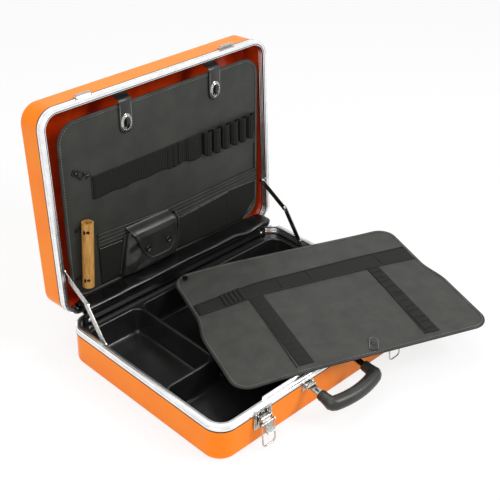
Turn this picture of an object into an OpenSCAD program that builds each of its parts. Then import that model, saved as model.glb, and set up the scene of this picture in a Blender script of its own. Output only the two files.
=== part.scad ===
// Hinged tool case, standing open with one tool pallet lifted out.
// Lengths are in millimetres. X runs left to right, +Y to the hinges, +Z up.
// Lid pieces are drawn in the closed case and then turned open about the hinge.

/* [Case] */
// Outside width, left to right
case_w = 460; // [360:5:560]
// Outside depth, front to back
case_d = 343; // [280:1:420]
// Height of the base half up to its rim
base_h = 66; // [50:1:90]
// Height of the lid half
lid_h = 57; // [40:1:80]
// Radius of the four upright corners
corner_r = 30; // [20:1:45]
// Radius of the edge round the bottom and round the top
edge_r = 6; // [3:0.5:10]
// Wall of the moulded halves
wall = 2.5; // [1.5:0.1:4]
// Angle that the lid stands open
lid_open = 95; // [0:1:100]

/* [Rim frames] */
// Height of a frame seen from outside
frame_h = 11; // [8:0.5:14]
// Depth of the solid band at the rim
band_h = 5; // [3:0.5:7]
// Distance that a frame reaches inwards from the outer wall
frame_reach = 7; // [5:0.5:9]
// Distance that a frame stands out past the outer wall
frame_lip = 1.3; // [0.8:0.1:2]
// Thickness of the inner flange
flange_t = 1.5; // [1:0.1:2.5]
// Length of the inner flange below the band
flange_h = 9; // [5:0.5:12]
// Gap between the two rims when the lid is shut
rim_gap = 0.4; // [0.2:0.1:1]

/* [Hinge] */
// Length of the hinge
hinge_len = 400; // [300:10:420]
// Length of one knuckle
knuckle_len = 20; // [10:5:40]
// Radius of a knuckle
knuckle_r = 2.2; // [1.8:0.1:3]
// Radius of the hinge pin
hinge_pin_r = 1.2; // [0.8:0.1:1.6]
// Thickness of a leaf
leaf_t = 1; // [0.6:0.1:1.5]

/* [Lid stays] */
// Length of a stay arm between its two pivots
arm_l = 66.2; // [60:0.1:72]
// Half width of a stay arm
arm_r = 5; // [3:0.5:7]
// Thickness of a stay arm
arm_t = 1.2; // [0.8:0.1:2]
// Height of the base pivot above the table
stay_base_z = 61; // [56:1:62]
// Distance of both stay pivots behind the middle of the case
stay_y = 92; // [60:1:120]

/* [Tray] */
// Height of the tray's rim
tray_top = 50; // [40:1:51]
// Height of the tray's floor, measured on its inside
tray_floor = 8; // [5:1:15]
// Thickness of the tray
tray_t = 1.6; // [1:0.1:2.5]
// Draft of the tray's walls over their whole height
tray_draft = 7; // [0:0.5:12]

/* [Lid pallet] */
// Width of the pallet in the lid
lid_pallet_w = 417; // [380:1:430]
// Height of the pallet in the lid
lid_pallet_d = 304; // [280:1:320]
// Depth of the pallet's middle below the lid's rim
lid_pallet_depth = 10.6; // [5:0.1:20]
// Lean of the pallet in the lid
lid_pallet_tilt = 2.46; // [0:0.01:5]
// Corner radius of the pallet in the lid
lid_pallet_r = 35; // [20:1:50]

/* [Loose pallet] */
// Width of the loose pallet at its front
loose_w = 440; // [400:1:440]
// Width of the loose pallet on the hinge side, between the stays
loose_narrow = 417; // [390:1:420]
// Depth of the loose pallet
loose_d = 312; // [290:1:320]
// Corner radius of the loose pallet
loose_r = 30; // [15:1:45]
// Place of its middle, left to right
loose_x = 106; // [0:1:120]
// Place of its middle, front to back
loose_y = -66; // [-80:1:0]
// Height of its underside
loose_z = 69.4; // [69.3:0.1:75]
// Turn of the pallet on the case
loose_turn = -21.5; // [-30:0.5:0]

/* [Pallet boards] */
// Thickness of a pallet board
board_t = 3; // [2:0.1:5]
// Width of the bound edge
binding_w = 6; // [4:0.5:9]
// Distance that the bound edge stands above the board
binding_up = 1; // [0.4:0.1:2]
// Thickness of webbing and elastic
webbing_t = 1.2; // [0.8:0.1:2]

/* [Latches and handle] */
// Distance of the latches from the middle
latch_x = 146; // [100:1:180]
// Width of a latch plate
latch_w = 36; // [24:1:44]
// Width of the latch's wire bail
bail_w = 25; // [18:1:34]
// Length of the bail
bail_l = 38; // [25:1:45]
// Thickness of the bail's wire
bail_wire = 2.4; // [1.6:0.1:3.5]
// Place of the handle's middle, left to right
handle_x = 0.5; // [-20:0.5:20]
// Half the distance between the handle's two arms
handle_half = 49.5; // [45:0.5:65]
// Distance from the handle's pivots to its elbows
handle_out = 44; // [40:1:70]
// Angle that the handle rests below level
handle_drop = 11; // [0:1:40]
// Radius of the grip
grip_r = 11.5; // [7:0.5:13]

/* [Hidden] */
$fn = 48;

half_w = case_w / 2;
half_d = case_d / 2;
eps = 0.01;
gap = 0.3;
fit_gap = 0.05;

shell_h = base_h - band_h;
inner_x = half_w - frame_reach;
inner_y = half_d - frame_reach;
outer_y = half_d + frame_lip;
hinge_y = outer_y + leaf_t + 0.1;
pin_bore_r = hinge_pin_r + fit_gap;
hinge_clear_r = knuckle_r + 0.4;

arm_gap = gap;
lower_arm_x = inner_x - 1 - arm_t;
upper_arm_x = lower_arm_x - arm_gap - arm_t;
post_r = 2;
post_head_r = 4;
post_head_t = 1.4;
knob_r = 4.5;
knob_t = 2.5;
stay_base = [stay_y, stay_base_z];
stay_lid = turned_open([stay_y + 0.5, base_h + 8.5]);
stay_elbow = elbow_of(stay_base, stay_lid);

latch_face = outer_y + 1.2;
lever_pin = [-(latch_face + 5), 46];
lever_pin_r = 1.5;
bail_pin = lever_pin + [-5, -6];
bail_lean = 7.5;
lever_drop = 62;
lever_w = 16;
lever_l = 19;
lever_t = 2;
plate_bottom = 27;
ear_w = 1.4;
ear_gap = 20;

handle_pin = [-(half_d + 7), 49];
handle_pin_r = 1.6;
eye_r = 3.6;
eye_w = 12;
bow_rise = 7;
bow_r = (handle_half * handle_half + bow_rise * bow_rise) / (2 * bow_rise);
sleeve_start = 20;
sleeve_r = 8;

board_low = -145;
board_mid_x = 4.5;
board_mid_y = board_low + lid_pallet_d / 2;
lock_y = -113;
lock_x = [-76, 111];
strap_w = 25;
strap_end = -108;
strap_t = 1.6;
strap_up = binding_up + 0.2;

loop_x = [88, 110, 131, 151, 170, 188];
loop_r = 7;
loop_side = 3;
band_low = -46;
band_wide = 40;

tube_x = -170;
tube_y = [22, 134];
tube_lean = 4.5;
tube_r = 9.5;
tube_bore_r = 7;
tie_w = 6;

pouch_x = [-95, 4];
pouch_y = [76, 151];
pouch_out = 17;
pouch_t = 1.5;
pouch_r = 8;
panel_t = 1.5;
flap_y = 69;
flap_out = pouch_out + panel_t + 0.4;
flap_t = 1.6;
snap_x = [-61, -17];
snap_y = 110;

shoulder = [-24, 38];

eyelet_at = [-189, 138];
eyelet_r = 3.25;
eyelet_rim = 5;

orange = [0.95, 0.50, 0.15];
bright = [0.82, 0.83, 0.84];
black = [0.10, 0.10, 0.10];
vinyl = [0.23, 0.23, 0.22];
tan = [0.75, 0.55, 0.28];

// ---- helpers ----

// A [y, z] point of the closed lid, after the lid is turned open.
function turned_open(p) = [
    hinge_y + (p.x - hinge_y) * cos(lid_open) + (p.y - base_h) * sin(lid_open),
    base_h - (p.x - hinge_y) * sin(lid_open) + (p.y - base_h) * cos(lid_open)
];

// The point where two arms of equal length meet, on the hinge side.
function elbow_of(a, b) =
    let (d = norm(b - a), half = (a + b) / 2, u = (b - a) / d)
    half + sqrt(arm_l * arm_l - d * d / 4) * [-u.y, u.x];

// Unit normal of a path of 2D points at point i.
function path_normal(pts, i) =
    let (
        a = pts[max(i - 1, 0)],
        b = pts[min(i + 1, len(pts) - 1)],
        d = (b - a) / norm(b - a)
    ) [-d.y, d.x];

// Outline of a ribbon of thickness t that follows the path.
function ribbon(pts, t) = concat(
    [for (i = [0:len(pts) - 1]) pts[i] + path_normal(pts, i) * t / 2],
    [for (i = [len(pts) - 1:-1:0]) pts[i] - path_normal(pts, i) * t / 2]
);

// Point of a cubic curve.
function curve(a, b, c, d, t) =
    a * pow(1 - t, 3) + 3 * b * t * pow(1 - t, 2) + 3 * c * t * t * (1 - t) + d * pow(t, 3);

module open_lid() {
    translate([0, hinge_y, base_h])
        rotate([-lid_open, 0, 0])
            translate([0, -hinge_y, -base_h])
                children();
}

// Turns a piece of the base over, to be the same piece of the lid.
module mirrored_at_rim() {
    translate([0, 0, 2 * base_h])
        mirror([0, 0, 1])
            children();
}

// On the lid's pallet: +Z stands out of its face, +Y runs to the hinge.
module on_lid_board() {
    open_lid()
        translate([0, 0, base_h + lid_pallet_depth])
            rotate([lid_pallet_tilt, 0, 0])
                mirror([0, 0, 1])
                    children();
}

module on_loose_board() {
    translate([loose_x, loose_y, loose_z])
        rotate([0, 0, loose_turn])
            children();
}

// Carries a profile round a rectangle with round corners. X of the profile is
// the distance outwards from the rectangle's edge.
module round_ring(w, d, r) {
    for (k = [0:3]) {
        sx = (k == 0 || k == 3) ? 1 : -1;
        sy = (k < 2) ? 1 : -1;
        side = (k % 2 == 0) ? d : w;
        reach = (k % 2 == 0) ? w / 2 : d / 2;
        translate([sx * (w / 2 - r), sy * (d / 2 - r), 0])
            rotate([0, 0, 90 * k])
                rotate_extrude(angle = 90)
                    translate([r, 0])
                        children();
        rotate([0, 0, 90 * k])
            translate([reach, 0, 0])
                rotate([90, 0, 0])
                    linear_extrude(side - 2 * r, center = true)
                        children();
    }
}

module round_plate(w, d, r, t) {
    linear_extrude(t)
        round_rect(w, d, r);
}

module round_rect(w, d, r) {
    square([w - 2 * r, d], center = true);
    square([w, d - 2 * r], center = true);
    for (sx = [-1, 1])
        for (sy = [-1, 1])
            translate([sx * (w / 2 - r), sy * (d / 2 - r)])
                circle(r);
}

module bar_between(a, b, r) {
    d = b - a;
    translate(a)
        rotate(atan2(d.y, d.x))
            translate([0, -r])
                square([norm(d), 2 * r]);
    translate(a)
        circle(r);
    translate(b)
        circle(r);
}

// Puts a shape drawn in (y, z) on the plane at x, with thickness t towards +X.
module on_side(x, t) {
    translate([x, 0, 0])
        rotate([90, 0, 90])
            linear_extrude(t)
                children();
}

// A round bar along X.
module bar_x(x0, x1, p, r) {
    translate([x0, p.x, p.y])
        rotate([0, 90, 0])
            cylinder(h = x1 - x0, r = r);
}

module both_sides() {
    for (side = [-1, 1])
        scale_x(side)
            children();
}

module scale_x(side) {
    if (side < 0)
        mirror([1, 0, 0])
            children();
    else
        children();
}

// ---- moulded halves and frames ----

module shell_profile(h) {
    translate([-wall, edge_r])
        square([wall, h - edge_r]);
    intersection() {
        translate([-edge_r, edge_r])
            difference() {
                circle(edge_r);
                circle(edge_r - wall);
            }
        translate([-edge_r, 0])
            square(edge_r);
    }
    translate([-edge_r - wall, 0])
        square([wall + eps, wall]);
}

module half_shell(h) {
    inset = edge_r + wall - eps;
    round_ring(case_w, case_d, corner_r)
        shell_profile(h);
    round_plate(case_w - 2 * inset, case_d - 2 * inset, corner_r - inset, wall);
}

module frame_profile() {
    rim = base_h - rim_gap / 2;
    difference() {
        union() {
            translate([-frame_reach, shell_h])
                square([frame_reach + frame_lip, rim - shell_h]);
            translate([0, base_h - frame_h])
                square([frame_lip, frame_h - band_h + eps]);
            translate([-frame_reach, shell_h - flange_h])
                square([flange_t, flange_h + eps]);
        }
        translate([frame_lip - 0.8, shell_h - 1.2])
            square([2, 1.2]);
    }
}

module rim_frame() {
    difference() {
        round_ring(case_w, case_d, corner_r)
            frame_profile();
        bar_x(-hinge_len / 2 - 1, hinge_len / 2 + 1, [hinge_y, base_h], hinge_clear_r);
    }
}

module base_shell() {
    color(orange)
        half_shell(shell_h);
}

module lid_shell() {
    color(orange)
        open_lid()
            translate([0, 0, base_h + lid_h])
                mirror([0, 0, 1])
                    half_shell(lid_h - band_h);
}

module base_frame() {
    color(bright)
        rim_frame();
}

module lid_frame() {
    color(bright)
        open_lid()
            mirrored_at_rim()
                rim_frame();
}

// Raised strip on the front of the base that the lid's frame drops over.
module alignment_strip() {
    strip_t = 1.6;
    strip_half = 138;
    color(bright)
        rotate([90, 0, 90])
            linear_extrude(2 * strip_half, center = true)
                polygon([
                    [-inner_y, base_h - 12],
                    [-inner_y + strip_t, base_h - 12],
                    [-inner_y + strip_t, base_h + 3],
                    [-inner_y + 0.5, base_h + 3],
                    [-inner_y + 0.5, base_h - 1],
                    [-inner_y, base_h - 1]
                ]);
}

// ---- tray ----

module well(x0, x1, y0, y1, grow, bottom) {
    r_top = 14 + grow;
    r_foot = 9 + grow;
    hull() {
        translate([(x0 + x1) / 2, (y0 + y1) / 2, tray_top])
            round_plate(x1 - x0 + 2 * grow, y1 - y0 + 2 * grow, r_top, eps, $fn = 32);
        translate([(x0 + x1) / 2, (y0 + y1) / 2, bottom])
            round_plate(
                x1 - x0 + 2 * (grow - tray_draft),
                y1 - y0 + 2 * (grow - tray_draft),
                r_foot, eps, $fn = 32
            );
    }
}

module wells(grow, bottom) {
    well(-213, -110, -33, 146, grow, bottom);
    well(-104, 213, -157, 146, grow, bottom);
    well(-213, -60, -157, -39, grow, bottom);
}

module tray() {
    rim_w = 2 * (half_w - wall - 1);
    rim_front = -167.5;
    rim_back = inner_y - 1.5;
    rim_d = rim_back - rim_front;
    color(black)
        difference() {
            union() {
                translate([0, (rim_front + rim_back) / 2, tray_top - tray_t])
                    round_plate(rim_w, rim_d, corner_r - wall - 2, tray_t);
                difference() {
                    wells(tray_t, tray_floor - tray_t);
                    translate([0, 0, tray_top + 50])
                        cube([500, 400, 100], center = true);
                }
            }
            wells(0, tray_floor);
            translate([0, 0, tray_top - eps])
                linear_extrude(1)
                    square([500, 400], center = true);
        }
}

// ---- hinge ----

knuckles = floor(hinge_len / knuckle_len);

module knuckle_row(first) {
    for (i = [first:2:knuckles - 1])
        translate([-hinge_len / 2 + i * knuckle_len + gap / 2, 0, 0])
            difference() {
                union() {
                    bar_x(0, knuckle_len - gap, [hinge_y, base_h], knuckle_r);
                    translate([0, outer_y, base_h - hinge_clear_r - 0.5])
                        cube([knuckle_len - gap, leaf_t, hinge_clear_r + 0.5]);
                }
                bar_x(-1, knuckle_len + 1, [hinge_y, base_h], pin_bore_r);
            }
}

module hinge_leaf(first) {
    leaf_h = frame_h - hinge_clear_r - 0.2;
    knuckle_row(first);
    translate([-hinge_len / 2, outer_y, base_h - frame_h])
        cube([hinge_len, leaf_t, leaf_h]);
}

module hinge_leaf_base() {
    color(bright)
        hinge_leaf(0);
}

module hinge_leaf_lid() {
    color(bright)
        open_lid()
            mirrored_at_rim()
                hinge_leaf(1);
}

module hinge_pin() {
    color(bright)
        bar_x(-hinge_len / 2, hinge_len / 2, [hinge_y, base_h], hinge_pin_r);
}

// ---- folded cover over the hinge ----

gusset_x = [-202, 201.5];
gusset_t = 1.2;
gusset_y = inner_y - gap - gusset_t / 2;
gusset_ridge = [152.5, 85.5];
gusset_crest = [181, 86.3];
gusset_grip = 15.4;
gusset_land = 13.5;
gusset_stud_x = [-196, 196];
gusset_stud_z = 9.4;

// Held on the inside of both frames. It folds forwards over the tray, runs back
// level to the pallet's lower edge and turns under to the lid's frame.
module hinge_gusset() {
    steps = 12;
    leave = [gusset_y, base_h - 5];
    land = turned_open([gusset_y, base_h + gusset_land]);
    foot = [gusset_y, base_h - gusset_grip];
    end = turned_open([gusset_y, base_h + 5]);
    rise = [for (i = [0:steps])
        curve(leave, [gusset_y, 70], [152, 72], gusset_ridge, i / steps)];
    back = [for (i = [1:steps])
        curve(gusset_ridge, [152.8, 91.5], [168, 86.5], gusset_crest, i / steps)];
    under = [for (i = [1:steps])
        curve(gusset_crest, [190, 86], [190.3, 74.9], land, i / steps)];
    color(vinyl)
        on_side(gusset_x[0], gusset_x[1] - gusset_x[0])
            polygon(ribbon(concat([foot], rise, back, under, [end]), gusset_t));
}

module gusset_stud() {
    rotate([90, 0, 0])
        cylinder(h = 1.3, r1 = 3.4, r2 = 2.2);
}

module gusset_studs_base() {
    color(bright)
        for (x = gusset_stud_x)
            translate([x, gusset_y - gusset_t / 2 - 0.1, base_h - gusset_stud_z])
                gusset_stud();
}

module gusset_studs_lid() {
    color(bright)
        open_lid()
            for (x = gusset_stud_x)
                translate([x, gusset_y - gusset_t / 2 - 0.1, base_h + gusset_stud_z])
                    gusset_stud();
}

// ---- stays ----

module stay_arm(a, b, x) {
    difference() {
        on_side(x, arm_t)
            difference() {
                bar_between(a, b, arm_r);
                translate(a)
                    circle(post_r + fit_gap);
            }
    }
}

module stay_post(p, inner_face) {
    bar_x(inner_face - gap - post_head_t, inner_x, p, post_r);
    bar_x(inner_face - gap - post_head_t, inner_face - gap, p, post_head_r);
}

module stay_posts_base() {
    color(bright)
        both_sides()
            stay_post(stay_base, lower_arm_x);
}

module stay_posts_lid() {
    color(bright)
        both_sides()
            stay_post(stay_lid, upper_arm_x);
}

module stay_lower(side) {
    color(bright)
        scale_x(side)
            stay_arm(stay_base, stay_elbow, lower_arm_x);
}

module stay_upper(side) {
    color(bright)
        scale_x(side)
            stay_arm(stay_lid, stay_elbow, upper_arm_x);
}

module elbow_rivet(side) {
    color(bright)
        scale_x(side)
            translate([upper_arm_x - knob_t, stay_elbow.x, stay_elbow.y])
                rotate([0, 90, 0])
                    cylinder(h = knob_t, r1 = knob_r - 1.5, r2 = knob_r);
}

module stay_lower_left() { stay_lower(-1); }
module stay_lower_right() { stay_lower(1); }
module stay_upper_left() { stay_upper(-1); }
module stay_upper_right() { stay_upper(1); }
module elbow_rivet_left() { elbow_rivet(-1); }
module elbow_rivet_right() { elbow_rivet(1); }

// ---- latches ----

module latch_plate() {
    top = base_h - 4;
    h = top - plate_bottom;
    face_t = 1.2;
    translate([0, -outer_y, plate_bottom + h / 2])
        rotate([90, 0, 0])
            round_plate(latch_w, h, 4, face_t);
    translate([-latch_w / 2 + 2, -outer_y, plate_bottom + 2])
        cube([latch_w - 4, frame_lip, base_h - frame_h - plate_bottom - 2.2]);
    for (side = [-1, 1])
        translate([side * ear_gap / 2 - ear_w / 2, 0, 0])
            on_side(0, ear_w)
                difference() {
                    union() {
                        translate(lever_pin)
                            circle(4);
                        translate([lever_pin.x, lever_pin.y - 4])
                            square([-latch_face - lever_pin.x, 8]);
                    }
                    translate(lever_pin)
                        circle(lever_pin_r);
                }
}

module latch_plates() {
    color(bright)
        both_sides()
            translate([latch_x, 0, 0])
                latch_plate();
}

module latch_pins() {
    reach = ear_gap / 2 + ear_w / 2 + 0.6;
    color(bright)
        both_sides()
            bar_x(latch_x - reach, latch_x + reach, lever_pin, lever_pin_r);
}

// The lever's blade leaves its pin at lever_drop below level.
module latch_lever(side) {
    tip = lever_pin + lever_l * [-cos(lever_drop), -sin(lever_drop)];
    lip = tip + 5 * [-cos(lever_drop - 35), -sin(lever_drop - 35)];
    color(bright)
        translate([side * latch_x, 0, 0])
            difference() {
                union() {
                    on_side(-lever_w / 2, lever_w) {
                        bar_between(lever_pin + [-1.8, -3.4], tip, lever_t / 2);
                        bar_between(tip, lip, lever_t / 2);
                    }
                    bar_x(-lever_w / 2, lever_w / 2, lever_pin, lever_pin_r + 1.4);
                    bar_x(-bail_w / 2 + 1.5, bail_w / 2 - 1.5, bail_pin, 1.3);
                    bar_x(-lever_w / 2, lever_w / 2, bail_pin, 2.4);
                }
                bar_x(-lever_w, lever_w, lever_pin, lever_pin_r + fit_gap);
            }
}

module latch_lever_left() { latch_lever(-1); }
module latch_lever_right() { latch_lever(1); }

// Wire bail, drawn hanging from its pin in the plane of X and Z.
module latch_bail(side) {
    r = bail_wire / 2;
    turn = 7;
    leg = bail_l - turn;
    color(bright)
        translate([side * latch_x, bail_pin.x, bail_pin.y])
            rotate([-bail_lean, 0, 0]) {
                for (s = [-1, 1]) {
                    translate([s * bail_w / 2, 0, 0])
                        rotate([0, 90, 0])
                            difference() {
                                cylinder(h = bail_wire, r = 3, center = true);
                                cylinder(h = 2 * bail_wire, r = 1.3 + fit_gap, center = true);
                            }
                    translate([s * bail_w / 2, 0, -leg])
                        cylinder(h = leg - 2.2, r = r);
                    translate([s * (bail_w / 2 - turn), 0, -leg])
                        rotate([90, 0, 0])
                            rotate([0, 0, s > 0 ? -90 : 180])
                                rotate_extrude(angle = 90)
                                    translate([turn, 0])
                                        circle(r);
                }
                bar_x(-bail_w / 2 + turn, bail_w / 2 - turn, [0, -bail_l], r);
            }
}

module latch_bail_left() { latch_bail(-1); }
module latch_bail_right() { latch_bail(1); }

module latch_catches() {
    w = 26;
    color(bright)
        open_lid()
            both_sides()
                translate([latch_x, 0, 0])
                    on_side(-w / 2, w)
                        polygon([
                            [-outer_y, base_h + 3],
                            [-outer_y, base_h + 17],
                            [-outer_y - 1.4, base_h + 17],
                            [-outer_y - 1.4, base_h + 9],
                            [-outer_y - 4, base_h + 9],
                            [-outer_y - 4, base_h + 13],
                            [-outer_y - 5.4, base_h + 13],
                            [-outer_y - 5.4, base_h + 7.5],
                            [-outer_y - 1.4, base_h + 7.5],
                            [-outer_y - 1.4, base_h + 3]
                        ]);
}

// ---- handle ----

module handle_bracket() {
    plate_t = 1.5;
    plate_h = 14;
    translate([-12, -half_d - plate_t, 40])
        cube([24, plate_t, plate_h]);
    for (side = [-1, 1])
        translate([side * (eye_w / 2 + 1.3) - 0.9, 0, 0])
            on_side(0, 1.8)
                difference() {
                    union() {
                        translate(handle_pin)
                            circle(eye_r);
                        translate([handle_pin.x, handle_pin.y - eye_r])
                            square([-half_d - plate_t - handle_pin.x, 2 * eye_r]);
                    }
                    translate(handle_pin)
                        circle(handle_pin_r);
                }
}

module handle_brackets() {
    color(bright)
        for (side = [-1, 1])
            translate([handle_x + side * handle_half, 0, 0])
                handle_bracket();
}

module handle_pins() {
    reach = eye_w / 2 + 3;
    color(bright)
        for (side = [-1, 1])
            translate([handle_x + side * handle_half, 0, 0])
                bar_x(-reach, reach, handle_pin, handle_pin_r);
}

// In the handle's own plane: X left to right, Y out from the pivots.
module in_handle() {
    translate([handle_x, handle_pin.x, handle_pin.y])
        rotate([handle_drop, 0, 0])
            mirror([0, 1, 0])
                children();
}

module handle_arms() {
    strap_w2 = eye_w / 2;
    color(bright)
        in_handle()
            for (side = [-1, 1])
                translate([side * handle_half, 0, 0])
                    difference() {
                        union() {
                            rotate([0, 90, 0])
                                cylinder(h = eye_w, r = eye_r - 0.4, center = true);
                            translate([-strap_w2, 0, -1.2])
                                cube([eye_w, sleeve_start, 2.4]);
                        }
                        rotate([0, 90, 0])
                            cylinder(h = 2 * eye_w, r = handle_pin_r + fit_gap, center = true);
                    }
}

module grip_bow(r) {
    sweep = asin(handle_half / bow_r);
    translate([0, handle_out + bow_rise - bow_r, 0])
        rotate([0, 0, 90 - sweep])
            rotate_extrude(angle = 2 * sweep, $fn = 96)
                translate([bow_r, 0])
                    circle(r, $fn = 48);
}

module handle_grip() {
    color(black)
        in_handle() {
            grip_bow(grip_r);
            for (side = [-1, 1]) {
                translate([side * handle_half, handle_out, 0])
                    sphere(grip_r + 0.2);
                translate([side * handle_half, sleeve_start, 0])
                    rotate([-90, 0, 0])
                        cylinder(h = handle_out - sleeve_start, r1 = sleeve_r, r2 = grip_r);
            }
        }
}

// Thin bright wire along the underside of each sleeve.
module handle_band() {
    wire_r = 0.9;
    start = [sleeve_start + 2, -sleeve_r - 1.5];
    end = [handle_out + 2, -grip_r - wire_r - 0.7];
    d = end - start;
    color(bright)
        in_handle()
            for (side = [-1, 1])
                translate([side * handle_half, start.x, start.y])
                    rotate([-90 + atan2(d.y, d.x), 0, 0])
                        cylinder(h = norm(d), r = wire_r);
}

// ---- pallet in the lid ----

module pallet_board(w, d, r) {
    round_plate(w - 2 * binding_w, d - 2 * binding_w, r - binding_w, board_t);
}

// Bound edge, flat below and rounded above.
module pallet_binding(w, d, r, low) {
    h = board_t + binding_up - low;
    round_ring(w, d, r)
        union() {
            translate([-binding_w, low])
                square([binding_w - h / 2, h]);
            translate([-h / 2 - eps, low + h / 2])
                circle(h / 2);
        }
}

module at_lid_board() {
    on_lid_board()
        translate([board_mid_x, board_mid_y, -board_t])
            children();
}

module lid_board() {
    color(vinyl)
        at_lid_board()
            pallet_board(lid_pallet_w, lid_pallet_d, lid_pallet_r);
}

module lid_binding() {
    color(vinyl)
        at_lid_board()
            pallet_binding(lid_pallet_w, lid_pallet_d, lid_pallet_r, -0.4);
}

module tool_loop_band() {
    x0 = -150;
    x1 = 205;
    color(vinyl)
        on_lid_board()
            translate([0, band_low + band_wide, 0])
                rotate([90, 0, 0])
                    linear_extrude(band_wide)
                        difference() {
                            union() {
                                translate([x0, 0])
                                    square([x1 - x0, webbing_t]);
                                for (x = loop_x)
                                    translate([x, 0])
                                        loop_arch(loop_r);
                            }
                            for (x = loop_x)
                                translate([x, -eps])
                                    loop_arch(loop_r - webbing_t);
                        }
}

module loop_arch(r) {
    translate([-r, 0])
        square([2 * r, loop_side]);
    intersection() {
        translate([0, loop_side])
            circle(r);
        translate([-r, 0])
            square([2 * r, loop_side + r]);
    }
}

module pocket_panel() {
    color(vinyl)
        on_lid_board()
            linear_extrude(panel_t)
                polygon([
                    [-145, 56], [205, 69], [205, 118],
                    [178, 150], [-145, 150]
                ]);
}

module pocket_piping() {
    bead = 1.4;
    slope = atan2(13, 350);
    color(vinyl)
        on_lid_board()
            for (line = [[-145, 54.3, 350], [20, 78, 183]])
                translate([line[0], line[1], line[1] < 60 ? bead : panel_t + bead])
                    rotate([0, 0, slope])
                        rotate([0, 90, 0])
                            cylinder(h = line[2], r = bead);
}

module pouch() {
    w = pouch_x[1] - pouch_x[0];
    d = pouch_y[1] - pouch_y[0];
    color(black)
        on_lid_board()
            translate([pouch_x[0], pouch_y[0], panel_t])
                difference() {
                    rotate([0, 90, 0])
                        rotate([0, 0, 90])
                            linear_extrude(w)
                                pouch_side(d, pouch_out, 0, pouch_r);
                    translate([pouch_t, -1, 0])
                        rotate([0, 90, 0])
                            rotate([0, 0, 90])
                                linear_extrude(w - 2 * pouch_t)
                                    pouch_side(
                                        d + 1 - pouch_t, pouch_out - pouch_t,
                                        pouch_t, pouch_r - pouch_t
                                    );
                }
}

// Side of the pouch: x along the board, y out of it, round at the lower corner.
module pouch_side(d, out, low, r) {
    translate([0, low])
        square([d - r, out - low]);
    translate([0, low])
        square([d, out - r - low]);
    translate([d - r, out - r])
        circle(r);
}

module pouch_flap() {
    color(black)
        on_lid_board()
            translate([0, 0, flap_out])
                linear_extrude(flap_t)
                    flap_outline();
}

module flap_outline() {
    polygon([
        [-91, flap_y], [3, flap_y], [3.5, 102], [1, 120], [-4, 128], [-12, 133],
        [-26, 136], [-42, 136.5], [-52, 134], [-60, 129], [-71, 116], [-81, 94]
    ]);
}

module flap_snaps() {
    color(bright)
        on_lid_board()
            for (x = snap_x)
                translate([x, snap_y, flap_out + flap_t])
                    cylinder(h = 1.6, r1 = 5, r2 = 3.6);
}

module tool_tube() {
    length = tube_y[1] - tube_y[0];
    color(tan)
        on_lid_board()
            translate([tube_x, tube_y[0], webbing_t + tube_r])
                rotate([-90, 0, tube_lean])
                    difference() {
                        cylinder(h = length, r = tube_r);
                        translate([0, 0, -1])
                            cylinder(h = length + 2, r = tube_bore_r);
                        for (along = [14, length - 14])
                            translate([0, 0, along])
                                rotate([90, 0, -35])
                                    cylinder(h = 2 * tube_r, r = 3);
                    }
}

module tube_ties() {
    color(black)
        on_lid_board()
            for (along = [14, tube_y[1] - tube_y[0] - 14])
                translate([tube_x - along * sin(tube_lean), tube_y[0] + along, 0])
                    translate([-15, -tie_w / 2, 0])
                        cube([30, tie_w, webbing_t]);
}

module key_clip() {
    color(bright)
        on_lid_board()
            translate([-177, -60, 0])
                rotate([0, 0, -60]) {
                    round_plate(10, 14, 3, 1.4);
                    translate([0, 12, 1.4])
                        rotate_extrude()
                            translate([6, 0])
                                circle(1.2);
                    translate([0, 0, 1.4])
                        cylinder(h = 1, r = 3);
                }
}

module lid_straps() {
    path = [
        [strap_end, strap_up + strap_t / 2],
        [-146, strap_up + strap_t / 2],
        [-150.5, strap_up - 2],
        [-153, -8],
        [-155, -18]
    ];
    color(black)
        on_lid_board()
            for (x = lock_x) {
                translate([x - strap_w / 2, 0, 0])
                    rotate([90, 0, 90])
                        linear_extrude(strap_w)
                            polygon(ribbon(path, strap_t));
                translate([x, strap_end, strap_up])
                    difference() {
                        cylinder(h = strap_t, r = strap_w / 2);
                        translate([-strap_w, -2 * strap_w, -1])
                            cube([2 * strap_w, 2 * strap_w, 2 + strap_t]);
                    }
            }
}

module oval(w, d) {
    square([w, d - w], center = true);
    for (s = [-1, 1])
        translate([0, s * (d - w) / 2])
            circle(w / 2);
}

module turnlock_plates() {
    color(bright)
        on_lid_board()
            for (x = lock_x)
                translate([x, lock_y, strap_up + strap_t])
                    linear_extrude(1.6)
                        difference() {
                            oval(21, 28);
                            circle(3);
                        }
}

module turnlock_knob(x) {
    low = strap_up + strap_t + 0.2;
    color(bright)
        on_lid_board()
            translate([x, lock_y, low]) {
                cylinder(h = 2, r = 2.9);
                translate([0, 0, 1.8])
                    linear_extrude(3)
                        oval(6, 19);
            }
}

module turnlock_knob_left() { turnlock_knob(lock_x[0]); }
module turnlock_knob_right() { turnlock_knob(lock_x[1]); }

module strap_anchors() {
    color(bright)
        open_lid()
            for (x = lock_x)
                translate([x - 9, -half_d + wall, base_h + 20])
                    cube([18, 1.2, 14]);
}

// ---- loose pallet ----

// Half the loose pallet's width at y, eased over the shoulder.
function loose_half(y) =
    let (t = max(0, min(1, (y - shoulder[0]) / (shoulder[1] - shoulder[0]))))
    loose_w / 2 - (loose_w - loose_narrow) / 2 * t * t * (3 - 2 * t);

function arc(c, r, from) =
    [for (i = [0:8]) c + r * [cos(from + 90 * i / 8), sin(from + 90 * i / 8)]];

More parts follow.
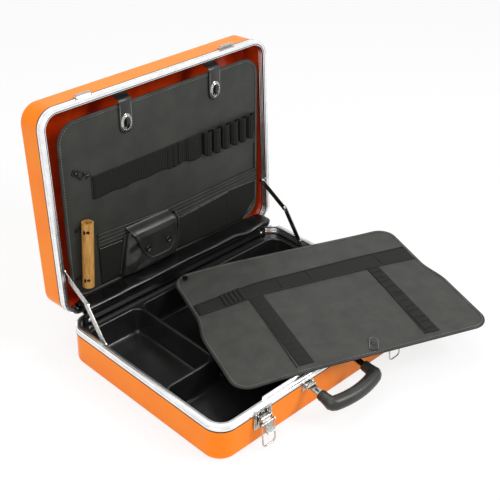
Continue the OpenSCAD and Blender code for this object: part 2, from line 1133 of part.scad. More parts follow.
// Outline of the loose pallet, moved inwards by inset.
function loose_outline(inset) =
    let (
        r = loose_r - inset,
        wide = loose_w / 2 - inset - r,
        thin = loose_narrow / 2 - inset - r,
        deep = loose_d / 2 - inset - r,
        run = [for (i = [0:10])
            let (y = shoulder[0] + (shoulder[1] - shoulder[0]) * i / 10)
            [loose_half(y) - inset, y]]
    ) concat(
        arc([wide, -deep], r, -90),
        run,
        arc([thin, deep], r, 0),
        arc([-thin, deep], r, 90),
        [for (i = [10:-1:0]) [-run[i].x, run[i].y]],
        arc([-wide, -deep], r, 180)
    );

module loose_board() {
    color(vinyl)
        on_loose_board()
            difference() {
                linear_extrude(board_t)
                    polygon(loose_outline(binding_w));
                translate([eyelet_at.x, eyelet_at.y, -1])
                    cylinder(h = board_t + 2, r = eyelet_r + fit_gap);
            }
}

module loose_binding() {
    color(vinyl)
        on_loose_board() {
            loose_edge_layer(0, 1, 0.7);
            loose_edge_layer(1, board_t, 0);
            loose_edge_layer(board_t, board_t + binding_up, 0.9);
        }
}

module loose_edge_layer(low, high, inset) {
    translate([0, 0, low])
        linear_extrude(high - low)
            difference() {
                polygon(loose_outline(inset));
                polygon(loose_outline(binding_w));
            }
}

module pallet_eyelet() {
    flange = 0.7;
    color(bright)
        on_loose_board()
            translate([eyelet_at.x, eyelet_at.y, -gap / 3])
                difference() {
                    union() {
                        cylinder(h = board_t + 2 * gap / 3 + flange, r = eyelet_r);
                        translate([0, 0, board_t + gap])
                            cylinder(h = flange, r = eyelet_rim);
                    }
                    translate([0, 0, -1])
                        cylinder(h = 3 * board_t, r = eyelet_r - 1);
                }
}

module loose_band(x0, x1, y0, y1) {
    color(vinyl)
        on_loose_board()
            translate([x0, y0, board_t])
                cube([x1 - x0, y1 - y0, webbing_t]);
}

module loose_band_long() {
    loose_band(-loose_narrow / 2 + binding_w, loose_narrow / 2 - binding_w, 50, 92);
}

module loose_band_left() {
    loose_band(-115, -89, -loose_d / 2 + binding_w + 12, 49.8);
}

module loose_band_right() {
    loose_band(108, 130, -loose_d / 2 + binding_w + 12, 49.8);
}

// A small leather tab, turned a little on the pallet.
module on_tab() {
    on_loose_board()
        translate([11, -loose_d / 2 + binding_w + 4.2, board_t])
            rotate([0, 0, -27])
                children();
}

module loose_tab() {
    r = 8;
    color(black)
        on_tab() {
            translate([-r, 0, 0])
                cube([2 * r, 22, webbing_t]);
            translate([0, 22, 0])
                cylinder(h = webbing_t, r = r);
        }
}

module loose_tab_snap() {
    color(black)
        on_tab()
            translate([0, 12, webbing_t])
                cylinder(h = 0.6, r1 = 4, r2 = 3);
}

base_shell();
base_frame();
tray();
alignment_strip();
latch_plates();
latch_pins();
handle_brackets();
handle_pins();
hinge_leaf_base();
hinge_pin();
stay_posts_base();
hinge_gusset();
gusset_studs_base();
lid_shell();
lid_frame();
hinge_leaf_lid();
stay_posts_lid();
gusset_studs_lid();
latch_catches();
strap_anchors();
lid_board();
lid_binding();
tool_loop_band();
pocket_panel();
pocket_piping();
pouch();
tool_tube();
tube_ties();
key_clip();
lid_straps();
turnlock_plates();
turnlock_knob_left();
turnlock_knob_right();
pouch_flap();
flap_snaps();
latch_lever_left();
latch_lever_right();
latch_bail_left();
latch_bail_right();
handle_arms();
handle_grip();
handle_band();
stay_lower_left();
stay_lower_right();
stay_upper_left();
stay_upper_right();
elbow_rivet_left();
elbow_rivet_right();
pallet_eyelet();
loose_board();
loose_binding();
loose_band_long();
loose_band_left();
loose_band_right();
loose_tab();
loose_tab_snap();
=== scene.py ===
"""Dressed model of a hard tool case, open, with one tool pallet lifted out.

Pieces are drawn in millimetres, each on its own flat place, and set into the
case's frame in metres: +Z up, +Y to the hinges, the origin under the base.
"""
import math

import bmesh
import bpy
from mathutils import Matrix, Vector, noise

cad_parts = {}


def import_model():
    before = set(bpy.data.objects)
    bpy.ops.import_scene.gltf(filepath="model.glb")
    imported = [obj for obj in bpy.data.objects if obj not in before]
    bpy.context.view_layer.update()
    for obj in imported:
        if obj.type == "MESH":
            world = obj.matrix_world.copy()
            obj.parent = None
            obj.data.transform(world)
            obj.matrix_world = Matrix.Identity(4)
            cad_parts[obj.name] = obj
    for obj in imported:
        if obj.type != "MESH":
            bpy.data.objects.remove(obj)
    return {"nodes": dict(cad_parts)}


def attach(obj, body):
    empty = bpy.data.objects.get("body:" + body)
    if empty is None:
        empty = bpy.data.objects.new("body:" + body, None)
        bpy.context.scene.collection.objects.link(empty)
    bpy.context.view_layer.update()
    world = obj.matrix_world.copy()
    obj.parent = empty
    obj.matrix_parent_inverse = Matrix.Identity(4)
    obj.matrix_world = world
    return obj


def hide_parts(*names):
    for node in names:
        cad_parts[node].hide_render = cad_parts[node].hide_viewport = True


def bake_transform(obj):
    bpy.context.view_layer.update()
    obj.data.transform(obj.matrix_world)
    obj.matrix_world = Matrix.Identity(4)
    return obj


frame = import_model()
NODES = frame["nodes"]
SCENE = bpy.context.scene


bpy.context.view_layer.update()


# ---- sizes, in millimetres ----

MM = 0.001
CASE_W, CASE_D, CORNER_R = 460, 343, 30
RIM_Z = 66
LID_OPEN = math.radians(95)
HINGE_Y = CASE_D / 2 + 2.4
LID_BOARD_TILT = math.radians(2.46)
LID_BOARD_DEPTH = 10.6
LID_BOARD_W, LID_BOARD_D, LID_BOARD_R = 417, 304, 35
LID_BOARD_X, LID_BOARD_Y = 4.5, 7
LOOSE_W, LOOSE_NARROW, LOOSE_D, LOOSE_R = 440, 417, 312, 30
SHOULDER = (-24, 38)
BOARD_T = 3
BINDING_W = 6
HANDLE_X, HANDLE_DROP = 0.5, math.radians(11)
HANDLE_HALF, HANDLE_OUT, GRIP_R = 49.5, 44, 11.5
HANDLE_PIN = (-CASE_D / 2 - 7, 49)


# ---- places: matrices from a piece's own flat place to the case ----

def about(point, angle, axis):
    """A turn about an axis through a point."""
    move = Matrix.Translation(point)
    return move @ Matrix.Rotation(angle, 4, axis) @ move.inverted()


HERE = Matrix.Identity(4)
LID = about((0, HINGE_Y, RIM_Z), -LID_OPEN, "X")
LID_BOARD = (LID @ Matrix.Translation((0, 0, RIM_Z + LID_BOARD_DEPTH))
             @ Matrix.Rotation(LID_BOARD_TILT, 4, "X")
             @ Matrix.Scale(-1, 4, (0, 0, 1)))
LOOSE_BOARD = (Matrix.Translation((106, -66, 69.4))
               @ Matrix.Rotation(math.radians(-21.5), 4, "Z"))
HANDLE = (Matrix.Translation((HANDLE_X, *HANDLE_PIN))
          @ Matrix.Rotation(HANDLE_DROP, 4, "X")
          @ Matrix.Scale(-1, 4, (0, 1, 0)))


# ---- materials ----

def linear(hex_colour):
    """An sRGB hex colour as linear red, green, blue and alpha."""
    parts = [int(hex_colour[i:i + 2], 16) / 255 for i in (1, 3, 5)]
    return [c / 12.92 if c <= 0.04045 else ((c + 0.055) / 1.055) ** 2.4 for c in parts] + [1]


def add(tree, kind, inputs=None, **settings):
    """Adds a node. An input is a value or another node's socket."""
    made = tree.nodes.new(kind)
    for name, value in settings.items():
        setattr(made, name, value)
    for name, value in (inputs or {}).items():
        if isinstance(value, bpy.types.NodeSocket):
            tree.links.new(value, made.inputs[name])
        else:
            made.inputs[name].default_value = value
    return made


# A Mix node's sockets: its factor, its two plain values, and its two colours.
FACTOR, VALUE_A, VALUE_B, COLOUR_A, COLOUR_B = 0, 2, 3, 6, 7
# Where its mixed value and its mixed colour come out.
VALUE_OUT, COLOUR_OUT = 0, 2


def settle(shader, **constants):
    """Sets inputs by name, with an underscore for each space."""
    for socket, value in constants.items():
        shader.inputs[socket.replace("_", " ")].default_value = value


def new_material(name, slot, **constants):
    """A material, its node tree, its shader and the object's coordinates."""
    material = bpy.data.materials.new(name)
    material.use_nodes = True
    tree = material.node_tree
    shader = tree.nodes["Principled BSDF"]
    settle(shader, **constants)
    place = add(tree, "ShaderNodeTexCoord").outputs["Object"]
    return material, tree, shader, place


def spread(tree, factor, dark, light, low=0.35, high=0.65):
    """Colours from dark to light as the factor goes from low to high."""
    ramp = add(tree, "ShaderNodeMapRange",
               {"Value": factor, "From Min": low, "From Max": high})
    return add(tree, "ShaderNodeMix",
               {FACTOR: ramp.outputs[0], COLOUR_A: linear(dark), COLOUR_B: linear(light)},
               data_type="RGBA").outputs[COLOUR_OUT]


def bumped(tree, shader, height, strength, depth_mm, under=None):
    """Raises the surface by a height, over an earlier bump if one is given."""
    inputs = {"Height": height, "Strength": strength, "Distance": depth_mm * MM}
    if under is not None:
        inputs["Normal"] = under
    bump = add(tree, "ShaderNodeBump", inputs).outputs[0]
    tree.links.new(bump, shader.inputs["Normal"])
    return bump


def per_mm(size_mm):
    """Texture scale that gives features of this size."""
    return 1 / (size_mm * MM)


def orange_abs():
    """Vacuum-formed ABS: a glossy skin with a faint ripple and hardly any change
    of tone."""
    material, tree, shader, place = new_material(
        "glossy orange ABS", "orange_shell", Roughness=0.3, IOR=1.53,
        Specular_IOR_Level=0.16)
    cloud = add(tree, "ShaderNodeTexNoise", {"Vector": place, "Scale": per_mm(60), "Detail": 3})
    tree.links.new(spread(tree, cloud.outputs[0], "#FB8209", "#FC890F"),
                   shader.inputs["Base Color"])
    ripple = add(tree, "ShaderNodeTexNoise", {"Vector": place, "Scale": per_mm(1.6), "Detail": 2})
    bumped(tree, shader, ripple.outputs[0], 0.12, 0.1)
    return material


def polished_aluminium():
    """Extruded, polished aluminium: bright, with faint smears."""
    material, tree, shader, place = new_material(
        "polished aluminium", "bright_frame", Metallic=1.0)
    smear = add(tree, "ShaderNodeTexNoise", {"Vector": place, "Scale": per_mm(14), "Detail": 4})
    tree.links.new(spread(tree, smear.outputs[0], "#EEEFF0", "#FAFAFA"),
                   shader.inputs["Base Color"])
    rough = add(tree, "ShaderNodeMapRange",
                {"Value": smear.outputs[0], "To Min": 0.2, "To Max": 0.27})
    tree.links.new(rough.outputs[0], shader.inputs["Roughness"])
    fine = add(tree, "ShaderNodeTexNoise", {"Vector": place, "Scale": per_mm(0.9)})
    bumped(tree, shader, fine.outputs[0], 0.05, 0.05)
    return material


def nickel_steel():
    """Nickel-plated pressed steel: near mirror, with small dull spots."""
    material, tree, shader, place = new_material(
        "nickel-plated steel", "nickel_steel", Metallic=1.0)
    spots = add(tree, "ShaderNodeTexNoise", {"Vector": place, "Scale": per_mm(4), "Detail": 5})
    tree.links.new(spread(tree, spots.outputs[0], "#A6A5A1", "#C8C7C3"),
                   shader.inputs["Base Color"])
    rough = add(tree, "ShaderNodeMapRange",
                {"Value": spots.outputs[0], "To Min": 0.12, "To Max": 0.22})
    tree.links.new(rough.outputs[0], shader.inputs["Roughness"])
    return material


def grained(name, slot, dark, light, grain_mm, depth_mm, strength=0.35, **constants):
    """Embossed grain, as on vinyl, leather and textured ABS: pebbles with dark
    valleys, over a slow change of tone."""
    material, tree, shader, place = new_material(name, slot, **constants)
    pebbles = add(tree, "ShaderNodeTexVoronoi", {"Vector": place, "Scale": per_mm(grain_mm)},
                  feature="SMOOTH_F1")
    tone = add(tree, "ShaderNodeTexNoise",
               {"Vector": place, "Scale": per_mm(35), "Detail": 6, "Roughness": 0.65})
    tree.links.new(spread(tree, tone.outputs[0], dark, light), shader.inputs["Base Color"])
    bump = bumped(tree, shader, pebbles.outputs["Distance"], strength, depth_mm)
    bumped(tree, shader, tone.outputs[0], 0.3, 0.4, bump)
    return material


# The wave node's bands are this wide at a scale of one.
WAVE_UNIT = math.pi / 10


def ribbed(name, slot, dark, light, rib_mm, **constants):
    """Woven tape: cords side by side, on the piece's own flat map. The colour is darker in the
    valleys between cords, as painted shade, and varies at random with the threads.
    """
    material, tree, shader, place = new_material(name, slot, **constants)
    flat = add(tree, "ShaderNodeUVMap", uv_map="flat")
    cords = add(tree, "ShaderNodeTexWave",
                {"Vector": flat.outputs[0], "Scale": WAVE_UNIT / (rib_mm * MM)},
                bands_direction="X")
    threads = add(tree, "ShaderNodeTexNoise", {"Vector": place, "Scale": per_mm(1.1), "Detail": 3})
    # The cords set the colour as well as the bump: painted shade in their valleys, with random
    # thread tone mixed in.
    tone = add(tree, "ShaderNodeMix",
               {FACTOR: 0.3, VALUE_A: cords.outputs["Fac"], VALUE_B: threads.outputs[0]})
    tree.links.new(spread(tree, tone.outputs[VALUE_OUT], dark, light, 0.1, 0.9),
                   shader.inputs["Base Color"])
    bump = bumped(tree, shader, cords.outputs["Fac"], 0.8, 0.5)
    bumped(tree, shader, threads.outputs[0], 0.4, 0.2, bump)
    return material


def rolled_card():
    """Rolled kraft tube: pale brown, with fibres along it."""
    material, tree, shader, place = new_material(
        "rolled card tube", "tube_card", Roughness=0.55)
    stretch = add(tree, "ShaderNodeMapping", {"Vector": place, "Scale": (1, 1, 0.12)})
    fibre = add(tree, "ShaderNodeTexNoise",
                {"Vector": stretch.outputs[0], "Scale": per_mm(2.2), "Detail": 5})
    tree.links.new(spread(tree, fibre.outputs[0], "#A06F30", "#CF9C50", 0.3, 0.7),
                   shader.inputs["Base Color"])
    bumped(tree, shader, fibre.outputs[0], 0.3, 0.15)
    return material


ORANGE = orange_abs()
BRIGHT = polished_aluminium()
NICKEL = nickel_steel()
# Vacuum-formed ABS sheet: satin black, whose grain breaks the highlights up.
TRAY = grained("textured black ABS", "tray_plastic", "#131313", "#1F1F1E", 1.1, 0.12,
               0.3, Roughness=0.24, Specular_IOR_Level=0.45)
# Vinyl cloth glued to board: an even, greyish black with hardly any shine.
VINYL = grained("grained board vinyl", "black_vinyl", "#31322F", "#393A36", 0.9, 0.1,
                0.3, Roughness=0.5, Specular_IOR_Level=0.2)
# The same cloth on the loose pallet, painted a little paler: painted light, as this board lies
# flatter to the lamps.
LIT_LOOSE_VINYL = grained("pallet vinyl painted lighter", "black_vinyl", "#3A3A38", "#444441", 0.9, 0.1,
                      0.3, Roughness=0.55, Specular_IOR_Level=0.2)
# Unbacked vinyl sheet: deep black, with long wet-looking lights on its folds.
SOFT_VINYL = grained("soft glossy vinyl", "gusset_vinyl", "#0A0A0A", "#141414", 1.4, 0.06,
                     0.15, Roughness=0.2, Specular_IOR_Level=0.65)
# Leather with a glazed finish: fine pebbles that shine along each crease.
LEATHER = grained("glazed pouch leather", "pouch_leather", "#161615", "#262624", 0.8, 0.1,
                  0.25, Roughness=0.33)
# Folded vinyl tape: darker than the boards, so that it outlines them.
BINDING = grained("edge tape", "black_vinyl", "#272725", "#3A3A37", 0.6, 0.1,
                  0.4, Roughness=0.48, Specular_IOR_Level=0.25)
# Moulded plastic with a leather grain: one soft light along the bow.
GRIP = grained("moulded grip", "grip_black", "#1B1B19", "#2A2A27", 0.7, 0.1,
               0.3, Roughness=0.36)
# Braided elastic: matt, with dark lines painted between its cords as their shade.
ELASTIC = ribbed("ribbed elastic", "webbing", "#0E0E0D", "#282825", 3.4,
                 Roughness=0.8, Specular_IOR_Level=0.15)
# Corded cotton cloth: the same look with finer cords.
POCKET = ribbed("ribbed pocket cloth", "webbing", "#0F0F0E", "#262623", 2.2,
                Roughness=0.75, Specular_IOR_Level=0.15)
# Waxed thread: pale dashes that make the seams read.
THREAD = grained("waxed thread", "black_vinyl", "#74746C", "#96968D", 0.5, 0.05,
                 Roughness=0.6)
# Near black, for painted shade: dark pieces set in slots, holes, gaps and grooves and along edges,
# where shade falls, so that nearly no light comes back.
PAINTED_SHADE = grained("painted shade black", "tray_plastic", "#050505", "#0A0A0A", 0.8, 0.05,
                   Roughness=0.7)
CARD = rolled_card()
# The inside of the lid's ABS: glossy, and deeper in tone as it stands in its own shade.
LINING = grained("glossy lid inside", "orange_shell", "#D0360C", "#E04A18", 2.0, 0.05, 0.1,
                 Roughness=0.16, Specular_IOR_Level=0.3)
# Stoved enamel on brass: smooth black with a small sharp light.
SNAP = grained("black enamelled snap", "pouch_leather", "#0A0A0A", "#141413", 2.0, 0.03, 0.1,
               Roughness=0.12)
# Black thread: seams that show only by their relief.
DARK_THREAD = grained("black thread", "webbing", "#161615", "#232321", 0.5, 0.05,
                      Roughness=0.6)
# Flat woven webbing: a fine rib, too dark and matt to shine.
LOOSE_TAPE = ribbed("woven pallet tape", "webbing", "#1C1C1A", "#2E2E2B", 1.6,
                    Roughness=0.7, Specular_IOR_Level=0.15)


# ---- making pieces ----

def shown(thing):
    """Puts an object in the scene."""
    SCENE.collection.objects.link(thing)
    return thing


def placed(bm, matrix):
    """Moves all of a mesh by a matrix."""
    bmesh.ops.transform(bm, matrix=matrix, verts=bm.verts)
    return bm


def finished(name, bm, place, body, material, replaced=(), smooth=35, repair=True):
    """Sets a mesh drawn in millimetres into the case, as one piece."""
    if repair:
        bmesh.ops.remove_doubles(bm, verts=bm.verts, dist=0.002)
        bmesh.ops.recalc_face_normals(bm, faces=bm.faces)
    flat = bm.loops.layers.uv.new("flat")
    for face in bm.faces:
        for loop in face.loops:
            loop[flat].uv = loop.vert.co.xy * MM
    placed(bm, Matrix.Scale(MM, 4) @ place)
    if place.determinant() < 0:
        bmesh.ops.reverse_faces(bm, faces=bm.faces)
    mesh = bpy.data.meshes.new(name)
    bm.to_mesh(mesh)
    bm.free()
    mesh.polygons.foreach_set("use_smooth", [True] * len(mesh.polygons))
    mesh.set_sharp_from_angle(angle=math.radians(smooth))
    mesh.materials.append(material)
    piece = shown(bpy.data.objects.new(name, mesh))
    if body:
        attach(piece, body)
    if replaced:
        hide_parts(*replaced)
    return piece


def dress(material, *nodes):
    """Gives CAD nodes a material and leaves their shape."""
    for name in nodes:
        NODES[name].data.materials.clear()
        NODES[name].data.materials.append(material)


def joined(bm, part):
    """Moves all of part into bm."""
    mesh = bpy.data.meshes.new("part")
    part.to_mesh(mesh)
    part.free()
    bm.from_mesh(mesh)
    bpy.data.meshes.remove(mesh)


def together(parts):
    """Several parts as one."""
    whole = bmesh.new()
    for part in parts:
        joined(whole, part)
    return whole


def only(kind, geometry):
    """The vertices, or the edges, among what an operator made."""
    return [g for g in geometry if isinstance(g, kind)]


def pushed(bm, edges, move):
    """Extrudes edges by a move, and gives the new vertices and edges."""
    made = bmesh.ops.extrude_edge_only(bm, edges=edges)["geom"]
    verts = only(bmesh.types.BMVert, made)
    bmesh.ops.translate(bm, vec=move, verts=verts)
    fresh = set(verts)
    return verts, [e for e in only(bmesh.types.BMEdge, made)
                   if all(v in fresh for v in e.verts)]


def raised(bm, height):
    """Extrudes a flat mesh up into a plate."""
    top = bmesh.ops.extrude_face_region(bm, geom=bm.faces[:])["geom"]
    bmesh.ops.translate(bm, vec=(0, 0, height), verts=only(bmesh.types.BMVert, top))


def ring_of(bm, points):
    """A closed ring of edges through points."""
    verts = [bm.verts.new(point) for point in points]
    return [bm.edges.new(pair) for pair in zip(verts, verts[1:] + verts[:1])]


def bridged(bm, rings):
    """Joins each ring of edges to the next."""
    for ring, following in zip(rings, rings[1:]):
        bmesh.ops.bridge_loops(bm, edges=ring + following)


# An edge is softened where its faces turn by more than this, in radians.
SHARP = 1.2


def slab(w, d, r, t, edge=0.4, at=(0, 0, 0), steps=8):
    """A plate with round corners and softened edges, its underside at z 0."""
    bm = bmesh.new()
    bmesh.ops.create_grid(bm, x_segments=1, y_segments=1, size=0.5)
    bmesh.ops.scale(bm, vec=(w, d, 1), verts=bm.verts)
    bmesh.ops.bevel(bm, geom=bm.verts[:], offset=r, segments=steps, profile=0.5,
                    affect="VERTICES", material=-1)
    raised(bm, t)
    bmesh.ops.recalc_face_normals(bm, faces=bm.faces)
    rims = [e for e in bm.edges if e.calc_face_angle(0) > SHARP]
    bmesh.ops.bevel(bm, geom=rims, offset=edge, segments=2, profile=0.5,
                    affect="EDGES", material=-1)
    bmesh.ops.translate(bm, vec=at, verts=bm.verts)
    return bm


def sides_of(w, d, r):
    """The four sides of a rectangle with round corners, anticlockwise from the
    right one: its turn, how far out it lies, and half its straight run."""
    for k in range(4):
        across, along = (w, d) if k % 2 == 0 else (d, w)
        yield k * math.pi / 2, across / 2, along / 2 - r


def carried_round(profile, w, d, r, at=(0, 0, 0), steps=10, closed=True):
    """Carries a profile of (outwards, up) points round a rectangle with round
    corners: straight runs are extruded and corners are spun."""
    bm = bmesh.new()
    start = [bm.verts.new((w / 2 + out, -(d / 2 - r), up)) for out, up in profile]
    count = len(start)
    last = count if closed else count - 1
    edges = [bm.edges.new((start[i], start[(i + 1) % count])) for i in range(last)]
    for heading, reach, half in sides_of(w, d, r):
        turn = Matrix.Rotation(heading, 3, "Z")
        verts, edges = pushed(bm, edges, turn @ Vector((0, 2 * half, 0)))
        centre = turn @ Vector((reach - r, half, 0))
        spun = bmesh.ops.spin(bm, geom=verts + edges, cent=centre, axis=(0, 0, 1),
                              angle=math.pi / 2, steps=steps)["geom_last"]
        edges = only(bmesh.types.BMEdge, spun)
    bmesh.ops.remove_doubles(bm, verts=bm.verts, dist=0.01)
    bmesh.ops.recalc_face_normals(bm, faces=bm.faces)
    bmesh.ops.translate(bm, vec=at, verts=bm.verts)
    return bm


def round_path(w, d, r, pitch):
    """Points and headings, about pitch apart, round a rectangle."""
    runs = []
    for heading, reach, half in sides_of(w, d, r):
        turn = Matrix.Rotation(heading, 3, "Z")
        count = max(1, round(2 * half / pitch))
        for i in range(count):
            runs.append((turn @ Vector((reach, -half + 2 * half * (i + 0.5) / count, 0)),
                         heading + math.pi / 2))
        count = max(1, round(r * math.pi / 2 / pitch))
        for i in range(count):
            angle = (i + 0.5) / count * math.pi / 2
            spot = Vector((reach - r + r * math.cos(angle), half + r * math.sin(angle), 0))
            runs.append((turn @ spot, heading + math.pi / 2 + angle))
    return runs


def stitch(bm, spot, heading, length=2.8, width=0.75, height=0.5):
    """One stitch: a small raised dash."""
    made = bmesh.ops.create_cube(bm, size=1)["verts"]
    shape = (Matrix.Translation(spot) @ Matrix.Rotation(heading, 4, "Z")
             @ Matrix.Diagonal((length, width, height, 1)))
    bmesh.ops.transform(bm, matrix=shape, verts=made)
    tops = [v for v in made if v.co.z > spot[2]]
    bmesh.ops.scale(bm, vec=(0.8, 0.8, 1), space=Matrix.Translation(-Vector(spot)), verts=tops)


def seam(bm, start, end, pitch=4.2, **sizes):
    """A row of stitches between two points."""
    start, end = Vector(start), Vector(end)
    run = end - start
    heading = math.atan2(run.y, run.x)
    count = max(1, round(run.length / pitch))
    for i in range(count):
        stitch(bm, start + run * (i + 0.5) / count, heading, **sizes)


def tape(route, width, thickness, rounds):
    """A strap of this width in X that follows a route of (y, z) points. The
    strap lies below the route."""
    bm = bmesh.new()
    first = [bm.verts.new((s * width / 2, *route[0])) for s in (-1, 1)]
    edges = [bm.edges.new(first)]
    for before, after in zip(route, route[1:]):
        _, edges = pushed(bm, edges, (0, after[0] - before[0], after[1] - before[1]))
    bmesh.ops.recalc_face_normals(bm, faces=bm.faces)
    bmesh.ops.solidify(bm, geom=bm.faces[:], thickness=thickness)
    bmesh.ops.recalc_face_normals(bm, faces=bm.faces)
    sides = [e for e in bm.edges
             if all(abs(abs(v.co.x) - width / 2) < 0.01 for v in e.verts)
             and e.calc_face_angle(0) > SHARP]
    bmesh.ops.bevel(bm, geom=sides, offset=rounds, segments=2, profile=0.5,
                    affect="EDGES", material=-1)
    return bm


def lathe(profile, at=(0, 0, 0), steps=32):
    """Spins a profile of (radius, up) points about Z."""
    bm = bmesh.new()
    verts = [bm.verts.new((max(radius, 0.001), 0, up)) for radius, up in profile]
    edges = [bm.edges.new(pair) for pair in zip(verts, verts[1:])]
    bmesh.ops.spin(bm, geom=verts + edges, cent=(0, 0, 0), axis=(0, 0, 1),
                   angle=2 * math.pi, steps=steps, use_merge=True)
    bmesh.ops.remove_doubles(bm, verts=bm.verts, dist=0.01)
    bmesh.ops.recalc_face_normals(bm, faces=bm.faces)
    bmesh.ops.translate(bm, vec=at, verts=bm.verts)
    return bm


def faced(bm, way=1):
    """Turns a sheet so that on the whole it faces up, or down for a way of -1."""
    bm.normal_update()
    if way * sum(face.normal.z * face.calc_area() for face in bm.faces) < 0:
        bmesh.ops.reverse_faces(bm, faces=bm.faces)
    return bm


def swept(route, low, high, steps=8):
    """A band that is a route of (x, z) points edge-on, from low to high in y."""
    bm = bmesh.new()
    row = [bm.verts.new((x, low, z)) for x, z in route]
    edges = [bm.edges.new(pair) for pair in zip(row, row[1:])]
    for _ in range(steps):
        _, edges = pushed(bm, edges, (0, (high - low) / steps, 0))
    return faced(bm)


def welt(line, profile, pitch=8):
    """A folded strip along a line of (x, y) points. Its profile is (y, z)."""
    bm = bmesh.new()
    row = [bm.verts.new((line[0][0], line[0][1] + across, up)) for across, up in profile]
    edges = [bm.edges.new(pair) for pair in zip(row, row[1:])]
    for (x0, y0), (x1, y1) in zip(line, line[1:]):
        count = max(1, round(abs(x1 - x0) / pitch))
        for _ in range(count):
            _, edges = pushed(bm, edges, ((x1 - x0) / count, (y1 - y0) / count, 0))
    return faced(bm)


def shaped_grid(columns, rows, place):
    """A soft grid. place gives each point from its shares across and down."""
    bm = bmesh.new()
    bmesh.ops.create_grid(bm, x_segments=columns, y_segments=rows, size=0.5)
    for v in bm.verts:
        v.co = place(v.co.x + 0.5, v.co.y + 0.5)
    return bm


def thickened(piece, thickness, offset=-1):
    """Gives a sheet its wall: under its drawn side, or half on each for 0."""
    wall = piece.modifiers.new("thickness", "SOLIDIFY")
    wall.thickness = thickness * MM
    wall.offset = offset
    return piece


def skinned(name, bm, place, body, material, replaced=(), thickness=1.0, offset=-1):
    """A piece of soft sheet."""
    piece = finished(name, bm, place, body, material, replaced, smooth=180, repair=False)
    return thickened(piece, thickness, offset)


def wire(points, radius, closed=False, radii=None, rounds=3):
    """A round bar along a line, with a share of the radius at each point."""
    line = bpy.data.curves.new("line", "CURVE")
    line.dimensions = "3D"
    line.bevel_depth = radius
    line.bevel_resolution = rounds
    line.use_fill_caps = not closed
    spline = line.splines.new("POLY")
    spline.points.add(len(points) - 1)
    for i, point in enumerate(points):
        spline.points[i].co = (*point, 1)
        spline.points[i].radius = radii[i] if radii else 1
    spline.use_cyclic_u = closed
    holder = bpy.data.objects.new("line", line)
    mesh = bpy.data.meshes.new_from_object(holder)
    bm = bmesh.new()
    bm.from_mesh(mesh)
    bpy.data.objects.remove(holder)
    bpy.data.curves.remove(line)
    bpy.data.meshes.remove(mesh)
    return bm


def finely(path, up, pitch=6):
    """Points about pitch apart along a path of (x, y) points, at one height."""
    points = []
    for (x0, y0), (x1, y1) in zip(path, path[1:]):
        count = max(1, round(math.hypot(x1 - x0, y1 - y0) / pitch))
        points += [(x0 + (x1 - x0) * i / count, y0 + (y1 - y0) * i / count, up)
                   for i in range(count)]
    return points + [(*path[-1], up)]


def between(table, value):
    """Reads a table of (value, result) pairs, straight between its entries."""
    for (a, left), (b, right) in zip(table, table[1:]):
        if value <= b:
            return left + (right - left) * max(0, (value - a) / (b - a))
    return table[-1][1]


def eased(low, high, value):
    """Rises from 0 at low to 1 at high, with a soft start and end."""
    t = min(1, max(0, (value - low) / (high - low)))
    return t * t * (3 - 2 * t)


def cut_across(bm, axis, places):
    """Adds edges across the mesh, so that it can bend."""
    for place in places:
        bmesh.ops.bisect_plane(bm, geom=bm.verts[:] + bm.edges[:] + bm.faces[:], dist=0.001,
                               plane_co=[place * a for a in axis], plane_no=axis)


# ---- rim frames ----

# Outwards from the outer wall and up from the rim, for the base's frame.
FRAME_PROFILE = [
    (0.0, -11.0), (1.0, -11.0), (1.3, -10.7), (1.3, -7.4), (1.1, -7.0), (0.2, -7.0),
    (0.2, -5.4), (1.1, -5.4), (1.3, -5.0), (1.3, -1.9), (1.0, -1.0), (0.3, -0.4),
    (-0.9, -0.2), (-1.3, -0.7), (-2.1, -0.7), (-2.4, -0.2), (-4.4, -0.2), (-4.8, -0.9),
    (-5.5, -0.9), (-5.8, -0.5), (-6.6, -0.5),
    (-7.0, -0.8), (-7.0, -4.4), (-6.75, -4.7), (-7.0, -5.0), (-7.0, -7.4), (-6.75, -7.7),
    (-7.0, -8.0), (-7.0, -10.4), (-6.75, -10.7), (-7.0, -11.0), (-7.0, -13.8),
    (-6.8, -14.0), (-5.7, -14.0), (-5.5, -13.8), (-5.5, -5.0), (0.0, -5.0),
]
# A dark strip under the frame's outer lip, against the shell: painted shade in the gap there.
LIP_SHADE_PROFILE = [(-0.4, -13.2), (0.95, -13.2), (1.25, -12.8), (1.25, -11.0), (-0.4, -11.0)]
# A dark strip along the frame's flat face: painted shade in its groove.
GROOVE_PROFILE = [(-5.6, -1.1), (-4.5, -1.1), (-4.5, -0.45), (-5.6, -0.45)]


def rim_frame(name, body, place, node, up):
    """A frame, with dark strips painted as the shade under its lip and in its groove. The lid's
    hangs down, for an up of -1.
    """
    frame_bar, lip_shade, groove = (
        carried_round([(out, RIM_Z + up * rise) for out, rise in profile],
                      CASE_W, CASE_D, CORNER_R, steps=14)
        for profile in (FRAME_PROFILE, LIP_SHADE_PROFILE, GROOVE_PROFILE))
    finished(name, frame_bar, place, body, BRIGHT, (node,), smooth=25)
    finished(name + "_shade_lines", together((lip_shade, groove)), place, body, PAINTED_SHADE)


rim_frame("base_rim", "base", HERE, "base_frame", 1)
rim_frame("lid_rim", "lid", LID, "lid_frame", -1)
dress(ORANGE, "base_shell", "lid_shell")


# ---- tray ----

TRAY_TOP, TRAY_FLOOR, TRAY_T, TRAY_DRAFT = 50, 8, 1.6, 7
TRAY_WALL = 1.2


